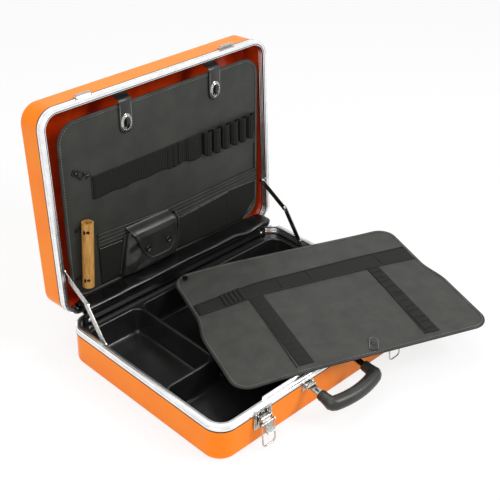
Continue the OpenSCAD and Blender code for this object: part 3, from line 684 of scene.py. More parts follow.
def outline(points, radii, inset, steps=8):
    """Points round a polygon drawn anticlockwise, moved in by inset, with each
    corner as an arc."""
    count = len(points)
    result = []
    for i in range(count):
        before, here, after = (Vector(points[j % count]) for j in (i - 1, i, i + 1))
        a, b = (here - before).normalized(), (after - here).normalized()
        turn = a.x * b.y - a.y * b.x
        corner = here + inset * (Vector((-a.y, a.x)) + Vector((-b.y, b.x)))
        r = radii[i] - inset if turn > 0 else radii[i] + inset
        centre = corner + r * (b - a)
        for step in range(steps + 1):
            angle = step / steps * math.pi / 2
            result.append(centre + r * (a * math.sin(angle) - b * math.cos(angle)))
    return result


# Each well's outline, and the radius of each of its corners.
WELLS = [
    ([(-213, -33), (-110, -33), (-110, 146), (-213, 146)], [14, 14, 14, 14]),
    ([(-213, -157), (213, -157), (213, 146), (-104, 146), (-104, -39), (-213, -39)],
     [20, 20, 20, 14, 8, 14]),
]


def well_levels():
    """How far a well's outline has moved in, and its height, from rim to floor."""
    depth = TRAY_TOP - TRAY_FLOOR
    levels = [(-2.6, TRAY_TOP), (-1.6, TRAY_TOP - 0.15), (-0.8, TRAY_TOP - 0.6),
              (-0.2, TRAY_TOP - 1.4), (0.1, TRAY_TOP - 2.6)]
    for share in (0.25, 0.5, 0.75):
        levels.append((TRAY_DRAFT * share * 0.9, TRAY_TOP - depth * share))
    foot = TRAY_DRAFT * 0.9
    levels += [(foot - 0.9, TRAY_FLOOR + 7), (foot - 0.1, TRAY_FLOOR + 4.4),
               (foot + 1.1, TRAY_FLOOR + 2.3), (foot + 2.8, TRAY_FLOOR + 0.9),
               (foot + 4.8, TRAY_FLOOR + 0.2), (foot + 7, TRAY_FLOOR)]
    return levels


def tray():
    """One formed sheet: a flat top, turned down at its edge, with its wells."""
    bm = bmesh.new()
    rims = []
    for points, radii in WELLS:
        rings = [ring_of(bm, [(p.x, p.y, z) for p in outline(points, radii, inset)])
                 for inset, z in well_levels()]
        bridged(bm, rings)
        bmesh.ops.contextual_create(bm, geom=rings[-1])
        rims += rings[0]
    half_w, front, back, rim_r = CASE_W / 2 - 3.5, -167.5, 163, 25.5
    edge = outline([(-half_w, front), (half_w, front), (half_w, back), (-half_w, back)],
                   [rim_r] * 4, 0)
    outer = ring_of(bm, [(p.x, p.y, TRAY_TOP) for p in edge])
    bmesh.ops.triangle_fill(bm, edges=rims + outer, use_beauty=True)
    pushed(bm, outer, (0, 0, -TRAY_T))
    bmesh.ops.recalc_face_normals(bm, faces=bm.faces)
    piece = finished("tray_liner", faced(bm), HERE, "base", TRAY, ("tray",), smooth=50,
                     repair=False)
    thickened(piece, TRAY_WALL)


tray()


# ---- lid lining ----

LID_H, SHELL_T, LINING_T = 57, 2.5, 0.15


def lid_lining():
    """The inner skin of the lid: the same plastic, seen deep and glossy inside."""
    top, rim = RIM_Z + LID_H - SHELL_T - 0.25, RIM_Z + 5.2
    wall = [(-2.75, rim), (-2.75, top - 3.5), (-3.0, top - 2.4), (-3.8, top - 0.9),
            (-5.0, top - 0.2), (-6.5, top), (-14.0, top)]
    bm = carried_round(wall, CASE_W, CASE_D, CORNER_R, steps=12, closed=False)
    bmesh.ops.contextual_create(bm, geom=[
        e for e in bm.edges
        if e.is_boundary and all(v.co.z > top - 0.01 for v in e.verts)])
    bmesh.ops.recalc_face_normals(bm, faces=bm.faces)
    piece = finished("lid_lining", faced(bm, -1), LID, "lid", LINING, smooth=60,
                     repair=False)
    thickened(piece, LINING_T)


lid_lining()


# ---- pallets ----

EDGE_LOW, EDGE_HIGH = -0.3, BOARD_T + 1.2
EDGE_MID = (EDGE_LOW + EDGE_HIGH) / 2
# The edge tape's section: outwards from the pallet's edge, and up from its underside.
EDGE_PROFILE = [
    (-BINDING_W, BOARD_T - 0.6), (-BINDING_W + 0.2, BOARD_T + 0.3),
    (-BINDING_W + 1.0, BOARD_T + 0.6), (-4.0, BOARD_T + 0.75), (-2.4, EDGE_HIGH),
    (-1.0, EDGE_HIGH - 0.5), (-0.2, EDGE_MID + 0.9), (0, EDGE_MID), (-0.2, EDGE_MID - 0.9),
    (-1.0, EDGE_LOW + 0.4), (-2.4, EDGE_LOW), (-BINDING_W, EDGE_LOW)]
# The stitches through the tape: how far in, how high, and how far apart.
STITCH_IN, STITCH_UP, STITCH_PITCH = 4.4, BOARD_T + 0.75, 4.6
LID_AT = (LID_BOARD_X, LID_BOARD_Y, -BOARD_T)


def lid_pallet():
    """The board in the lid, with its taped edge and the row of stitches on it."""
    w, d, r = LID_BOARD_W, LID_BOARD_D, LID_BOARD_R
    face = slab(w - 2 * BINDING_W + 1, d - 2 * BINDING_W + 1, r - BINDING_W, BOARD_T, 0.3,
                LID_AT)
    finished("lid_pallet_face", face, LID_BOARD, "lid_pallet", VINYL, ("lid_board",))
    edge = carried_round(EDGE_PROFILE, w, d, r, LID_AT, steps=16)
    finished("lid_pallet_edge", edge, LID_BOARD, "lid_pallet", BINDING, ("lid_binding",),
             smooth=60)
    threads = bmesh.new()
    for spot, heading in round_path(w - 2 * STITCH_IN, d - 2 * STITCH_IN, r - STITCH_IN,
                                    STITCH_PITCH):
        stitch(threads, spot + Vector(LID_AT) + Vector((0, 0, STITCH_UP)), heading)
    finished("lid_pallet_stitches", threads, LID_BOARD, "lid_pallet", THREAD)


lid_pallet()


def loose_half(y):
    """Half the loose pallet's width, which narrows towards the hinges."""
    return LOOSE_W / 2 - (LOOSE_W - LOOSE_NARROW) / 2 * eased(*SHOULDER, y)


def loose_outline(inset, steps=10):
    """The loose pallet's outline: wide in front, narrower between the stays."""
    r = LOOSE_R - inset
    wide, thin = LOOSE_W / 2 - inset - r, LOOSE_NARROW / 2 - inset - r
    deep = LOOSE_D / 2 - inset - r

    def arc(x, y, start):
        """A quarter turn about a point, from a start in degrees."""
        turns = [math.radians(start + 90 * i / steps) for i in range(steps + 1)]
        return [(x + r * math.cos(a), y + r * math.sin(a)) for a in turns]

    low, high = SHOULDER
    sides = [low + (high - low) * i / 10 for i in range(11)]
    runs = [(loose_half(y) - inset, y) for y in
            [-110 + 86 * i / 6 for i in range(6)] + sides + [58, 80, 102]]
    return (arc(wide, -deep, -90) + runs + arc(thin, deep, 0) + arc(-thin, deep, 90)
            + [(-x, y) for x, y in reversed(runs)] + arc(-wide, -deep, 180))


def sag(x, y):
    """The unheld left end hangs a little, and the far right corner stands up."""
    left = max(0, (-x - 90) / 128) ** 1.6
    right = max(0, (x - 110) / 110) ** 2 * max(0, (y + 20) / 170)
    return 2.5 * right - 9 * left * (0.75 + 0.25 * math.cos((y - 40) / 120))


def on_loose(name, bm, material, replaced=(), smooth=45, repair=True):
    """A piece of the loose pallet, which sags with it."""
    for v in bm.verts:
        v.co.z += sag(v.co.x, v.co.y)
    return finished(name, bm, LOOSE_BOARD, "loose_pallet", material, replaced, smooth, repair)


def loose_pallet():
    """The loose board, cut across so that it can sag, with its tape and stitches."""
    face = bmesh.new()
    face.faces.new([face.verts.new((x, y, 0)) for x, y in loose_outline(BINDING_W - 0.5)])
    raised(face, BOARD_T)
    cut_across(face, (1, 0, 0), range(-204, 211, 12))
    cut_across(face, (0, 1, 0), range(-140, 150, 20))
    on_loose("loose_pallet_face", face, LIT_LOOSE_VINYL, ("loose_board",))
    edge = bmesh.new()
    rings = [ring_of(edge, [(x, y, up) for x, y in loose_outline(-out)])
             for out, up in EDGE_PROFILE]
    bridged(edge, rings + rings[:1])
    cut_across(edge, (1, 0, 0), range(-192, 193, 12))
    on_loose("loose_pallet_edge", edge, BINDING, ("loose_binding",), smooth=60)
    threads = bmesh.new()
    line = loose_outline(STITCH_IN)
    for (x0, y0), (x1, y1) in zip(line, line[1:] + line[:1]):
        seam(threads, (x0, y0, STITCH_UP), (x1, y1, STITCH_UP), pitch=STITCH_PITCH)
    on_loose("loose_pallet_stitches", threads, THREAD)


loose_pallet()


def strip_of(x0, x1, y0, y1, up, thickness=1.1, edge=0.3):
    """A flat sewn strip, cut so that it follows the sagging board."""
    bm = slab(x1 - x0, y1 - y0, 0.6, thickness, edge, ((x0 + x1) / 2, (y0 + y1) / 2, up),
              steps=1)
    cut_across(bm, (1, 0, 0), range(math.ceil(x0 / 12) * 12, math.floor(x1), 12))
    cut_across(bm, (0, 1, 0), range(math.ceil(y0 / 14) * 14, math.floor(y1), 14))
    return bm


# Elastic: its thickness, and how high its face is over the board where it lies flat.
ELASTIC_T, ELASTIC_UP = 1.0, 1.2
# Half an ellipse, as (across, up) from -1 to 1: the edge-on shape of a loop.
ARCH = [(-1.0, 0.0), (-0.97, 0.35), (-0.82, 0.7), (-0.45, 0.94), (0, 1), (0.45, 0.94),
        (0.82, 0.7), (0.97, 0.35), (1.0, 0.0)]


def loops(x0, x1, bulges):
    """Edge-on route of elastic: flat, with bulges of (middle, half, rise)."""
    route = [(x0, 0.2), (x0 + 0.4, ELASTIC_UP)]
    for middle, half, rise in bulges:
        route += [(middle + half * f, ELASTIC_UP + rise * g) for f, g in ARCH]
    return route + [(x1 - 0.4, ELASTIC_UP), (x1, 0.2)]


def loose_bands():
    """Elastic bands sewn over the board, with dark wires along their edges as painted shadow
    lines, and small loops.
    """
    reach = LOOSE_NARROW / 2 - BINDING_W
    small = [(x, 3.4, 2.2) for x in range(-152, -117, 8)]
    route = ([(-reach, 0.3)] + [(x, ELASTIC_UP) for x in (-reach + 8, -180, -166)]
             + loops(-158, -116, small)[1:-1]
             + [(x, ELASTIC_UP) for x in range(-108, 200, 12)] + [(reach, 0.3)])
    band = swept([(x, z + BOARD_T) for x, z in route], 0, 1)
    for v in band.verts:
        low = between([(-204, 38), (-150, 40), (-90, 48), (105, 53), (204, 52)], v.co.x)
        high = between([(-204, 66), (-160, 70), (-82, 82), (118, 90), (204, 90)], v.co.x)
        v.co.y = low + (high - low) * v.co.y
    thickened(on_loose("loose_long_band", band, LOOSE_TAPE, ("loose_band_long",),
                       repair=False), ELASTIC_T)
    # Dark wires along the bands' edges: painted shadow lines where the bands stand off the board.
    edges = [
        [(-200, 38.5), (-150, 40), (-90, 47.5), (105, 52.5), (139, 53), (203, 51.5)],
        [(-200, 66.5), (-160, 70.5), (-82, 82), (118, 90.5), (203, 90)],
        [(-49, 51), (-48, 85)], [(7, 52), (8, 87)], [(142, 53), (141, 90)],
        [(-113.5, 45), (-114, 0), (-115.5, -70), (-117.5, -142)],
        [(110.5, 53), (110, 0), (108, -70), (106, -141)],
    ]
    lines = together(wire(finely(path, BOARD_T + 1.25), 0.75, rounds=1) for path in edges)
    on_loose("loose_band_edge_shadows", lines, PAINTED_SHADE, smooth=70)
    left = strip_of(-113, -88, -140, 49, BOARD_T)
    on_loose("loose_band_chevrons", left, LOOSE_TAPE, ("loose_band_left",))
    ridges = bmesh.new()
    for i in range(11):
        y = 30 - 15.5 * i
        for x0, x1, y0, y1 in ((-111, -100.5, y, y - 7), (-100.5, -90, y - 7, y),
                               (-111, -100.5, y - 3, y - 10), (-100.5, -90, y - 10, y - 3)):
            seam(ridges, (x0, y0, BOARD_T + 1.15), (x1, y1, BOARD_T + 1.15), pitch=2.2,
                 length=1.7, width=0.6, height=0.5)
    on_loose("loose_band_chevron_stitches", ridges, DARK_THREAD)
    right_route = [(109, 0.3), (109.6, ELASTIC_UP), (131.4, ELASTIC_UP), (132, 0.3)]
    right = swept([(x, z + BOARD_T) for x, z in right_route], -140, 50, steps=76)
    for v in right.verts:
        if 110 < v.co.x < 131:
            wave = math.sin(v.co.y / 5.2) + 0.6 * math.sin(v.co.y / 3.1 + 1)
            v.co.z += 0.9 + 0.8 * wave
    thickened(on_loose("loose_band_small_loops", right, LOOSE_TAPE, ("loose_band_right",),
                       repair=False), ELASTIC_T)
    bars = bmesh.new()
    for y in (38, 21, 9, -8, -26, -33, -51, -68, -80, -99, -112, -130):
        wobble = 2.5 * noise.noise(Vector((y / 9, 0.2, 0.7)))
        seam(bars, (111, y + wobble, BOARD_T + 2.6), (130.5, y - wobble, BOARD_T + 2.6),
             pitch=2.6, length=2.0, width=0.7, height=1.0)
    on_loose("loose_band_loop_stitches", bars, DARK_THREAD)


loose_bands()


def loose_tab():
    """A leather tab with a snap, sewn in under the edge tape."""
    place = (Matrix.Translation((11, -LOOSE_D / 2 + BINDING_W + 4.2, BOARD_T))
             @ Matrix.Rotation(math.radians(-27), 4, "Z"))
    leather = slab(16, 33, 7.6, 1.3, 0.4, (0, 14, 0.05))
    on_loose("loose_leather_tab", placed(leather, place), LEATHER, ("loose_tab",))
    cup = lathe([(0, 1.9), (1.6, 2.0), (2.2, 2.5), (3.4, 2.4), (4.0, 1.9), (4.1, 1.3)],
                at=(0, 14, 0))
    on_loose("loose_tab_snap_cup", placed(cup, place), SNAP, ("loose_tab_snap",))
    half = [(6.8, 0.5), (6.8, 22), (5.0, 27)]
    route = [(-x, y) for x, y in half] + [(0, 29.2)] + half[::-1]
    line = wire([(x, y, 1.4) for x, y in route], 0.35, rounds=1)
    on_loose("loose_tab_stitch_line", placed(line, place), THREAD)


loose_tab()


# ---- elastic, pockets and pouch on the lid's pallet ----

def on_pallet(name, bm, material, replaced=(), smooth=45, repair=True, body="lid_pallet"):
    """A piece drawn on the pallet in the lid."""
    return finished(name, bm, LID_BOARD, body, material, replaced, smooth, repair)


# The six tall loops: the middle of each, and half its width.
BIG_LOOPS = [(90, 8.6), (110.5, 9.0), (131.5, 9.0), (152, 8.6), (171.5, 8.2), (190, 8.0)]
BAND_RUN = (-148, 206)
BAND_TOP, BAND_BOTTOM = -44, -5.5


def tool_loops():
    """Ribbed elastic: flat at the left, low tunnels, then six tall loops."""
    small = [(9, 4.5, 1.6), (20, 4.5, 1.8), (31, 4.5, 1.6), (62, 17, 4.0)]
    big = [(x, half, 9.2) for x, half in BIG_LOOPS]
    flat = [(x, ELASTIC_UP) for x in range(-142, 2, 6)]
    route = [(BAND_RUN[0], 0.2)] + flat + loops(4, BAND_RUN[1], small + big)[1:]
    band = swept(route, BAND_TOP, BAND_BOTTOM, steps=14)
    for v in band.verts:
        share = (v.co.y - BAND_TOP) / (BAND_BOTTOM - BAND_TOP)
        lift = max(0, v.co.z - ELASTIC_UP)
        droop = 0.9 * math.sin(v.co.x / 8.0) + 0.5 * lift
        v.co.y += droop * share ** 3 - 0.12 * lift * (1 - share) ** 3
        v.co.z += 0.25 * math.sin(v.co.y / 3 + v.co.x / 7) * min(1, lift)
    thickened(on_pallet("elastic_tool_loops", band, ELASTIC, ("tool_loop_band",), smooth=60,
                        repair=False), ELASTIC_T)
    # Dark wires at the band's left end and along its top edge: painted shadow lines.
    end = together((
        wire([(BAND_RUN[0] - 0.3, y, 1.0) for y in (BAND_TOP - 1, -25, BAND_BOTTOM)], 0.9,
             rounds=2),
        wire([(x, BAND_TOP + 0.2, 1.3) for x in (BAND_RUN[0], -60, 0)], 0.45, rounds=1)))
    on_pallet("elastic_edge_shadow_lines", end, PAINTED_SHADE, smooth=70)
    rows = bmesh.new()
    for i in range(9):
        x = 48 + 3.4 * i
        y = -36 + 2.2 * math.sin(i * 1.3)
        top = 1.5 + 3.9 * max(0, math.sin(math.pi * (x - 45) / 34))
        stitch(rows, (x, y, top), 0.4 * math.cos(i), length=3.0, width=0.7, height=0.6)
        stitch(rows, (x, y + 5, top), -0.4 * math.cos(i), length=3.0, width=0.7, height=0.6)
    for x in (2, 14.5, 25.5, 37, 43, 80.4, 100, 121, 142, 162, 180.8, 199.4):
        seam(rows, (x, BAND_TOP + 1, 1.3), (x, BAND_BOTTOM - 1, 1.3), pitch=3.4,
             length=2.2, width=0.5, height=0.45)
    on_pallet("elastic_stitches", rows, DARK_THREAD)


tool_loops()

# A folded welt's section, and the lines that the two welts follow.
WELT = [(0.0, 0.1), (-0.4, 1.0), (0.1, 2.2), (1.2, 2.8), (2.4, 2.4), (3.0, 1.5), (4.6, 1.2),
        (8.6, 1.2), (9.6, 1.7), (10.4, 1.3), (10.6, 0.1)]
WELT_T = 0.8
UPPER_LINE = [(-147, 58), (5, 67), (209, 64)]
LOWER_LINE = [(-147, 71), (-98, 73.5), (18, 80), (209, 75.5)]


def pocket_point(across, down):
    """The cloth bellies between its seams, and hardly at all at the left."""
    x = -146 + 351 * across
    top = between([(-147, 82), (-99, 84.5), (19, 90.5), (140, 82.5), (209, 86)], x)
    low = 158 - 1.05 * (x - 172)
    if x < 172:
        low = min(155, 150 + 8 * max(0, (x + 60) / 260))
    y = top + (low - top) * down
    belly = math.sin(math.pi * down) ** 0.8
    panels = abs(math.sin(math.pi * (x + 147) / 70.5)) ** 0.5
    up = 1.4 + belly * (1.2 + 1.6 * panels) * (0.4 if x < 14 else 1)
    return x, y, up + 0.35 * noise.noise(Vector((x / 30, y / 18, 2.0)))


def pockets():
    """Two folded welts, and a ribbed cloth pocket that stands a little open."""
    strips = welt(UPPER_LINE, WELT)
    joined(strips, welt(LOWER_LINE, [(y * 0.95, z + 0.5) for y, z in WELT]))
    thickened(on_pallet("pocket_welts", strips, VINYL, ("pocket_piping",), smooth=60,
                        repair=False), WELT_T)
    gaps = together(wire(finely(line, 1.2, 10), 0.9, rounds=1) for line in
                    ([(-140, 69.8), (5, 78.6), (18, 79.2)], [(18, 79.0), (207, 75.4)]))
    on_pallet("pocket_gap_shadows", gaps, PAINTED_SHADE, smooth=70)
    piece = skinned("ribbed_pocket_cloth", shaped_grid(140, 24, pocket_point), LID_BOARD,
                    "lid_pallet", POCKET, ("pocket_panel",))
    rows = bmesh.new()
    for (x0, y0), (x1, y1) in (((19, 92.5), (140, 84.5)), ((140, 84.5), (205, 88)),
                               ((-145, 84.5), (-99, 87)), ((19, 95), (140, 87))):
        seam(rows, (x0, y0, 2.1), (x1, y1, 2.1), pitch=3.6, length=2.4)
    on_pallet("pocket_top_stitches", rows, THREAD)
    ribs = bmesh.new()
    for x, y0, y1 in ((69.5, 88, 150), (140, 85, 152), (-95, 84, 124)):
        joined(ribs, wire([(x, y0 + (y1 - y0) * i / 10, 2.0 + 0.6 * math.sin(math.pi * i / 10))
                           for i in range(11)], 0.7, rounds=1))
    joined(ribs, wire([(205.5, 15, 1.2), (206, 40, 1.2), (206, 64, 1.2)], 1.0, rounds=1))
    on_pallet("pocket_divider_beads", ribs, DARK_THREAD, smooth=70)


pockets()

# The pouch's mouth and foot along the pallet, and how far it stands out from it.
POUCH_TOP, POUCH_LOW, POUCH_DEEP = 75, 152, 16.5
# The share of its height where the pouch turns in to its foot, and that turn's radius.
POUCH_TURN, POUCH_FOOT_R = 0.72, 15


def pouch_point(along, down):
    """Full in front, gathered at its left side, and rolled in at its foot."""
    turn = math.pi * (1 - along)
    across = math.copysign(abs(math.cos(turn)) ** 0.55, math.cos(turn))
    rise = max(0.0, math.sin(turn)) ** 0.5
    bend = max(0, (down - POUCH_TURN) / (1 - POUCH_TURN)) * math.pi / 2
    y = (POUCH_TOP + (POUCH_LOW - POUCH_FOOT_R - POUCH_TOP) * min(1, down / POUCH_TURN)
         + POUCH_FOOT_R * math.sin(bend))
    left = between([(74, -90), (104, -98), (130, -104), (152, -106)], y)
    right = between([(74, 11), (110, 13), (152, 9)], y)
    x = (left + right) / 2 + (right - left) / 2 * across
    full = between([(0, 0.82), (0.3, 0.98), (0.6, 1.06), (POUCH_TURN, 1.0), (1, 1.0)], down)
    up = POUCH_DEEP * rise * full * max(0.0, math.cos(bend)) ** 0.6
    side = math.exp(-((x - left - 16) / 15) ** 2)
    folds = math.sin((y + 0.35 * x) / 4.6 + 1.6 * noise.noise(Vector((x / 26, y / 30, 5))))
    up += rise * (1.5 * side * folds
                  + 1.3 * noise.noise(Vector((x / 20, y / 26, 1.5)))
                  + 0.5 * noise.noise(Vector((x / 8, y / 10, 8.5))))
    return x, y, 1.6 + max(0, up)


def pouch():
    """Soft glazed leather, with piping down both sides."""
    skinned("pouch_leather_front", shaped_grid(110, 80, pouch_point), LID_BOARD,
            "lid_pallet", LEATHER, ("pouch",), thickness=1.3)
    right = [(13.5, 76, 4), (14.8, 84, 9), (15.2, 100, 9), (15.0, 118, 8), (14.2, 136, 6),
             (11.0, 148, 3.5)]
    left = [(-91, 78, 2.6), (-96, 92, 2.8), (-100.5, 112, 2.8), (-105, 132, 2.8),
            (-108, 147, 2.6)]
    piping = together((wire(right, 1.7, rounds=2), wire(left, 1.3, rounds=2)))
    on_pallet("pouch_side_piping", piping, BINDING, smooth=70)


pouch()

FLAP_TOP, FLAP_TIP = 66, 136.3
# The flap's left and right edges and its height over the board, each down its length.
FLAP_LEFT = [(66, -92), (80, -87), (93, -81), (104, -77), (115, -71.5), (124, -65.5),
             (130.4, -58.7), (134, -51.5), (136.3, -43)]
FLAP_RIGHT = [(66, 0), (85, 3), (102, 3.6), (112, 3), (119.8, 0.8), (127, -4), (132, -10.5),
              (135, -19), (136.3, -27)]
FLAP_RISE = [(66, 2.5), (68.6, 4.5), (70.4, 9.5), (72.6, 15.2), (77, 19.2), (86, 20.8),
             (100, 20.6), (120, 20.4), (136.3, 20)]


def flap_point(across, y):
    """A point of the flap, whose border is a little raised and rounds off."""
    left, right = between(FLAP_LEFT, y), between(FLAP_RIGHT, y)
    half = (right - left) / 2
    x = (left + right) / 2 + half * across
    inside = min((1 - abs(across)) * half, FLAP_TIP - y)
    border = 1 - eased(5.4, 6.3, inside)
    fall = 1 - eased(0, 1.2, inside)
    up = between(FLAP_RISE, y) + 0.9 * border * eased(70, 78, y) - 0.9 * fall
    up -= 1.1 * eased(0.35, 1, abs(across)) * eased(66, 90, y)
    up += 0.8 * noise.noise(Vector((x / 34, y / 30, 3.3))) * eased(68, 84, y)
    return x, y, up


def pouch_flap():
    """The flap is sewn at its top, rolls over the mouth and snaps shut."""
    bm = shaped_grid(104, 90, lambda across, down: flap_point(
        2 * across - 1, FLAP_TOP + (FLAP_TIP - FLAP_TOP) * (1 - (1 - down) ** 1.35)))
    piece = skinned("pouch_leather_flap", bm, LID_BOARD, None, LEATHER, ("pouch_flap",),
                    thickness=1.4)
    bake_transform(piece)
    rows = bmesh.new()
    route = ([(-0.93, y) for y in range(78, 131, 4)]
             + [(a / 10, 133.4) for a in range(-8, 9, 4)]
             + [(0.93, y) for y in range(130, 77, -4)])
    for before, after in zip(route, route[1:]):
        a, b = (Vector(flap_point(*spot)) + Vector((0, 0, 0.15)) for spot in (before, after))
        seam(rows, a, b, pitch=3.4, length=2.2, width=0.5, height=0.4)
    on_pallet("flap_stitches", rows, DARK_THREAD, body="flap")
    profile = [(0, 20.9), (2.4, 20.9), (2.9, 21.9), (3.9, 22.6), (5.0, 22.4), (5.5, 21.6),
               (5.5, 20.2)]
    cups = together(lathe(profile, at=(x, 110, 0), steps=28) for x in (-61, -17))
    on_pallet("flap_snap_cups", cups, SNAP, ("flap_snaps",), body="flap")


pouch_flap()


def tube_ties():
    """Two dark tapes hold the tube: each comes out of its slot and is sewn down."""
    bm = bmesh.new()
    lean = math.radians(4.5)
    for along in (14, 98):
        x, y = -170 - along * math.sin(lean), 22 + along
        for side in (-1, 1):
            route = [(side * a, z) for a, z in ((6.0, 6.0), (9.6, 4.0), (10.6, 1.6),
                                                (12.4, 0.9), (17, 0.8))]
            part = swept([(x + px, pz) for px, pz in sorted(route)], y - 2.5, y + 2.5, 3)
            bmesh.ops.solidify(part, geom=part.faces[:], thickness=0.7)
            joined(bm, part)
        knot = bmesh.new()
        bmesh.ops.create_icosphere(knot, subdivisions=3, radius=1)
        bmesh.ops.scale(knot, vec=(2.4, 4.2, 2.4), verts=knot.verts)
        for v in knot.verts:
            v.co *= 1 + 0.16 * noise.noise(v.co * 0.9 + Vector((along, 0, 0)))
        bmesh.ops.translate(knot, vec=(x - 7.9, y, 13.4), verts=knot.verts)
        joined(bm, knot)
    on_pallet("tube_tape_ties", bm, ELASTIC, ("tube_ties",), smooth=60)


tube_ties()


def clip_hook():
    """A small swivel hook beside the band."""
    ring = [(-166.6 + 5.2 * math.cos(a), -54 + 5.2 * math.sin(a), 3.0 + 1.4 * math.sin(a))
            for a in (math.radians(15 * i) for i in range(24))]
    hook = [(-161, -52, 3.0), (-157.5, -51, 3.4), (-154, -52.5, 3.6), (-152, -50, 3.2),
            (-153.5, -47, 2.8), (-157, -46.6, 2.4), (-159.5, -48.6, 2.2)]
    rivet = lathe([(0, 4.4), (1.6, 4.2), (2.6, 3.2), (2.8, 1.2)], at=(-177, -60, 0))
    parts = together((wire(ring, 0.8, closed=True), wire(hook, 1.0), rivet))
    on_pallet("clip_swivel_hook", parts, SNAP)


clip_hook()


# ---- straps and turn locks ----

STRAP_X = (-76, 111)
STRAP_W, STRAP_UP = 25, 2.85
# Where a strap begins to narrow to its round tip, and how long the tip is.
TIP_FROM, TIP_LONG = -108, 12.6
LOCK_Y = -113
# A turn lock is oval: its round parts are stretched by this much in x and y.
LOCK_STRETCH = (0.98, 1.32, 1)


def straps():
    """Two leather straps, from the lid's wall round the pallet's edge to the locks."""
    to_board = LID_BOARD.inverted() @ LID
    wall_y = -CASE_D / 2 + 3.9
    fixed = [(to_board @ Vector((0, wall_y, z))).yz for z in (RIM_Z + 33, RIM_Z + 21)]
    up = STRAP_UP
    route = ([(-95.7, up), (-96.2, up), (-97.5, up), (-100, up), (-104, up), (-112, up),
              (-120, up), (-128, up), (-136, up + 0.1), (-143, up + 0.3), (-147.5, up - 0.1),
              (-150.4, up - 1.6), (-152.2, up - 4.4), (-153.6, up - 9), (-156, up - 13),
              (-160, up - 14.5)] + [(fixed[1][0] + 4, fixed[1][1] + 3), fixed[1], fixed[0]])
    for side, x in zip(("left", "right"), STRAP_X):
        bm = tape(route, STRAP_W, 1.5, rounds=0.4)
        for v in bm.verts:
            if v.co.y > TIP_FROM:
                v.co.x *= max(0.02, 1 - ((v.co.y - TIP_FROM) / TIP_LONG) ** 2) ** 0.5
        bmesh.ops.translate(bm, vec=(x, 0, 0), verts=bm.verts)
        piece = on_pallet(f"strap_{side}", bm, LEATHER, ("lid_straps",), body=None)
        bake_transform(piece)
        half = [(1, -144), (1, TIP_FROM), (0.75, -101.5)]
        line = [(-s, y) for s, y in half] + [(0, -98.4)] + half[::-1]
        trim = wire([(x + s * 10.6, y, 2.95) for s, y in line], 0.35, rounds=1)
        on_pallet(f"strap_{side}_stitch_line", trim, THREAD, smooth=70)


def turn_locks():
    """Nickel ring with a beaded border round an oval painted dark as the shade in its opening, and
    a turning bar.
    """
    rings, floors = bmesh.new(), bmesh.new()

    def set_in(target, part, x, up):
        """Stretches a round part to an oval and sets it on a strap."""
        bmesh.ops.scale(part, vec=LOCK_STRETCH, verts=part.verts)
        bmesh.ops.translate(part, vec=(x, LOCK_Y, up), verts=part.verts)
        joined(target, part)

    for x in STRAP_X:
        ring = lathe([(6.2, 0.2), (6.4, 1.6), (7.2, 2.3), (8.0, 2.0), (8.5, 1.3), (9.2, 1.2),
                      (10.0, 1.0), (10.6, 0.5), (10.6, 0.0), (6.2, 0.0), (6.2, 0.2)], steps=40)
        for i in range(18):
            a = math.radians(20 * i)
            bead = bmesh.new()
            bmesh.ops.create_icosphere(bead, subdivisions=2, radius=0.95)
            bmesh.ops.translate(bead, vec=(9.1 * math.cos(a), 9.1 * math.sin(a), 1.3),
                                verts=bead.verts)
            joined(ring, bead)
        set_in(rings, ring, x, STRAP_UP)
        # A dark disc inside each ring: painted shade in its opening.
        set_in(floors, lathe([(0, 0.35), (6.3, 0.35), (6.3, 0)]), x, STRAP_UP - 0.05)
    on_pallet("turnlock_rings", rings, NICKEL, ("turnlock_plates",))
    on_pallet("turnlock_dark_wells", floors, PAINTED_SHADE)
    for side, x in zip(("left", "right"), STRAP_X):
        knob = lathe([(2.6, 0), (2.4, 1.6), (1.7, 2.4), (1.7, 3.2), (0, 3.2)], steps=24)
        bar = slab(6, 18, 2.9, 2.6, 0.9, (0, 0, 2.2), steps=6)
        for v in bar.verts:
            v.co.z += 0.7 * math.cos(v.co.y / 6)
        joined(knob, bar)
        bmesh.ops.translate(knob, vec=(x, LOCK_Y, 3.0), verts=knob.verts)
        on_pallet(f"turnlock_bar_{side}", knob, SNAP, (f"turnlock_knob_{side}",),
                  body=f"knob_{side}")


straps()
turn_locks()


# ---- hinge cover ----

GUSSET_X = (-206, 205)
# Heights over the rim: the sheet's lower end, where it leaves the base's frame, where it
# lands on the lid's, and its end there. It is held by the frames' inner faces.
GUSSET_FOOT, GUSSET_LEAVES, GUSSET_LANDS, GUSSET_END = -15.9, -5, 13.5, 5
GUSSET_Y = CASE_D / 2 - 7 - 0.9
# The front ridge of its fold and the crest behind it, as (y, z).
GUSSET_RIDGE, GUSSET_CREST = (152.5, 85.5), (181, 86.3)
GUSSET_COLUMNS, GUSSET_STEPS = 100, 12


def curve(a, b, c, d, t):
    """Point of a cubic curve in (y, z)."""
    pts = [Vector(p) for p in (a, b, c, d)]
    s = 1 - t
    return pts[0] * s ** 3 + 3 * pts[1] * t * s * s + 3 * pts[2] * t * t * s + pts[3] * t ** 3


def opened(y, z):
    """Where a point of the shut lid is when the lid is open, as (y, z)."""
    return (LID @ Vector((0, y, z))).yz


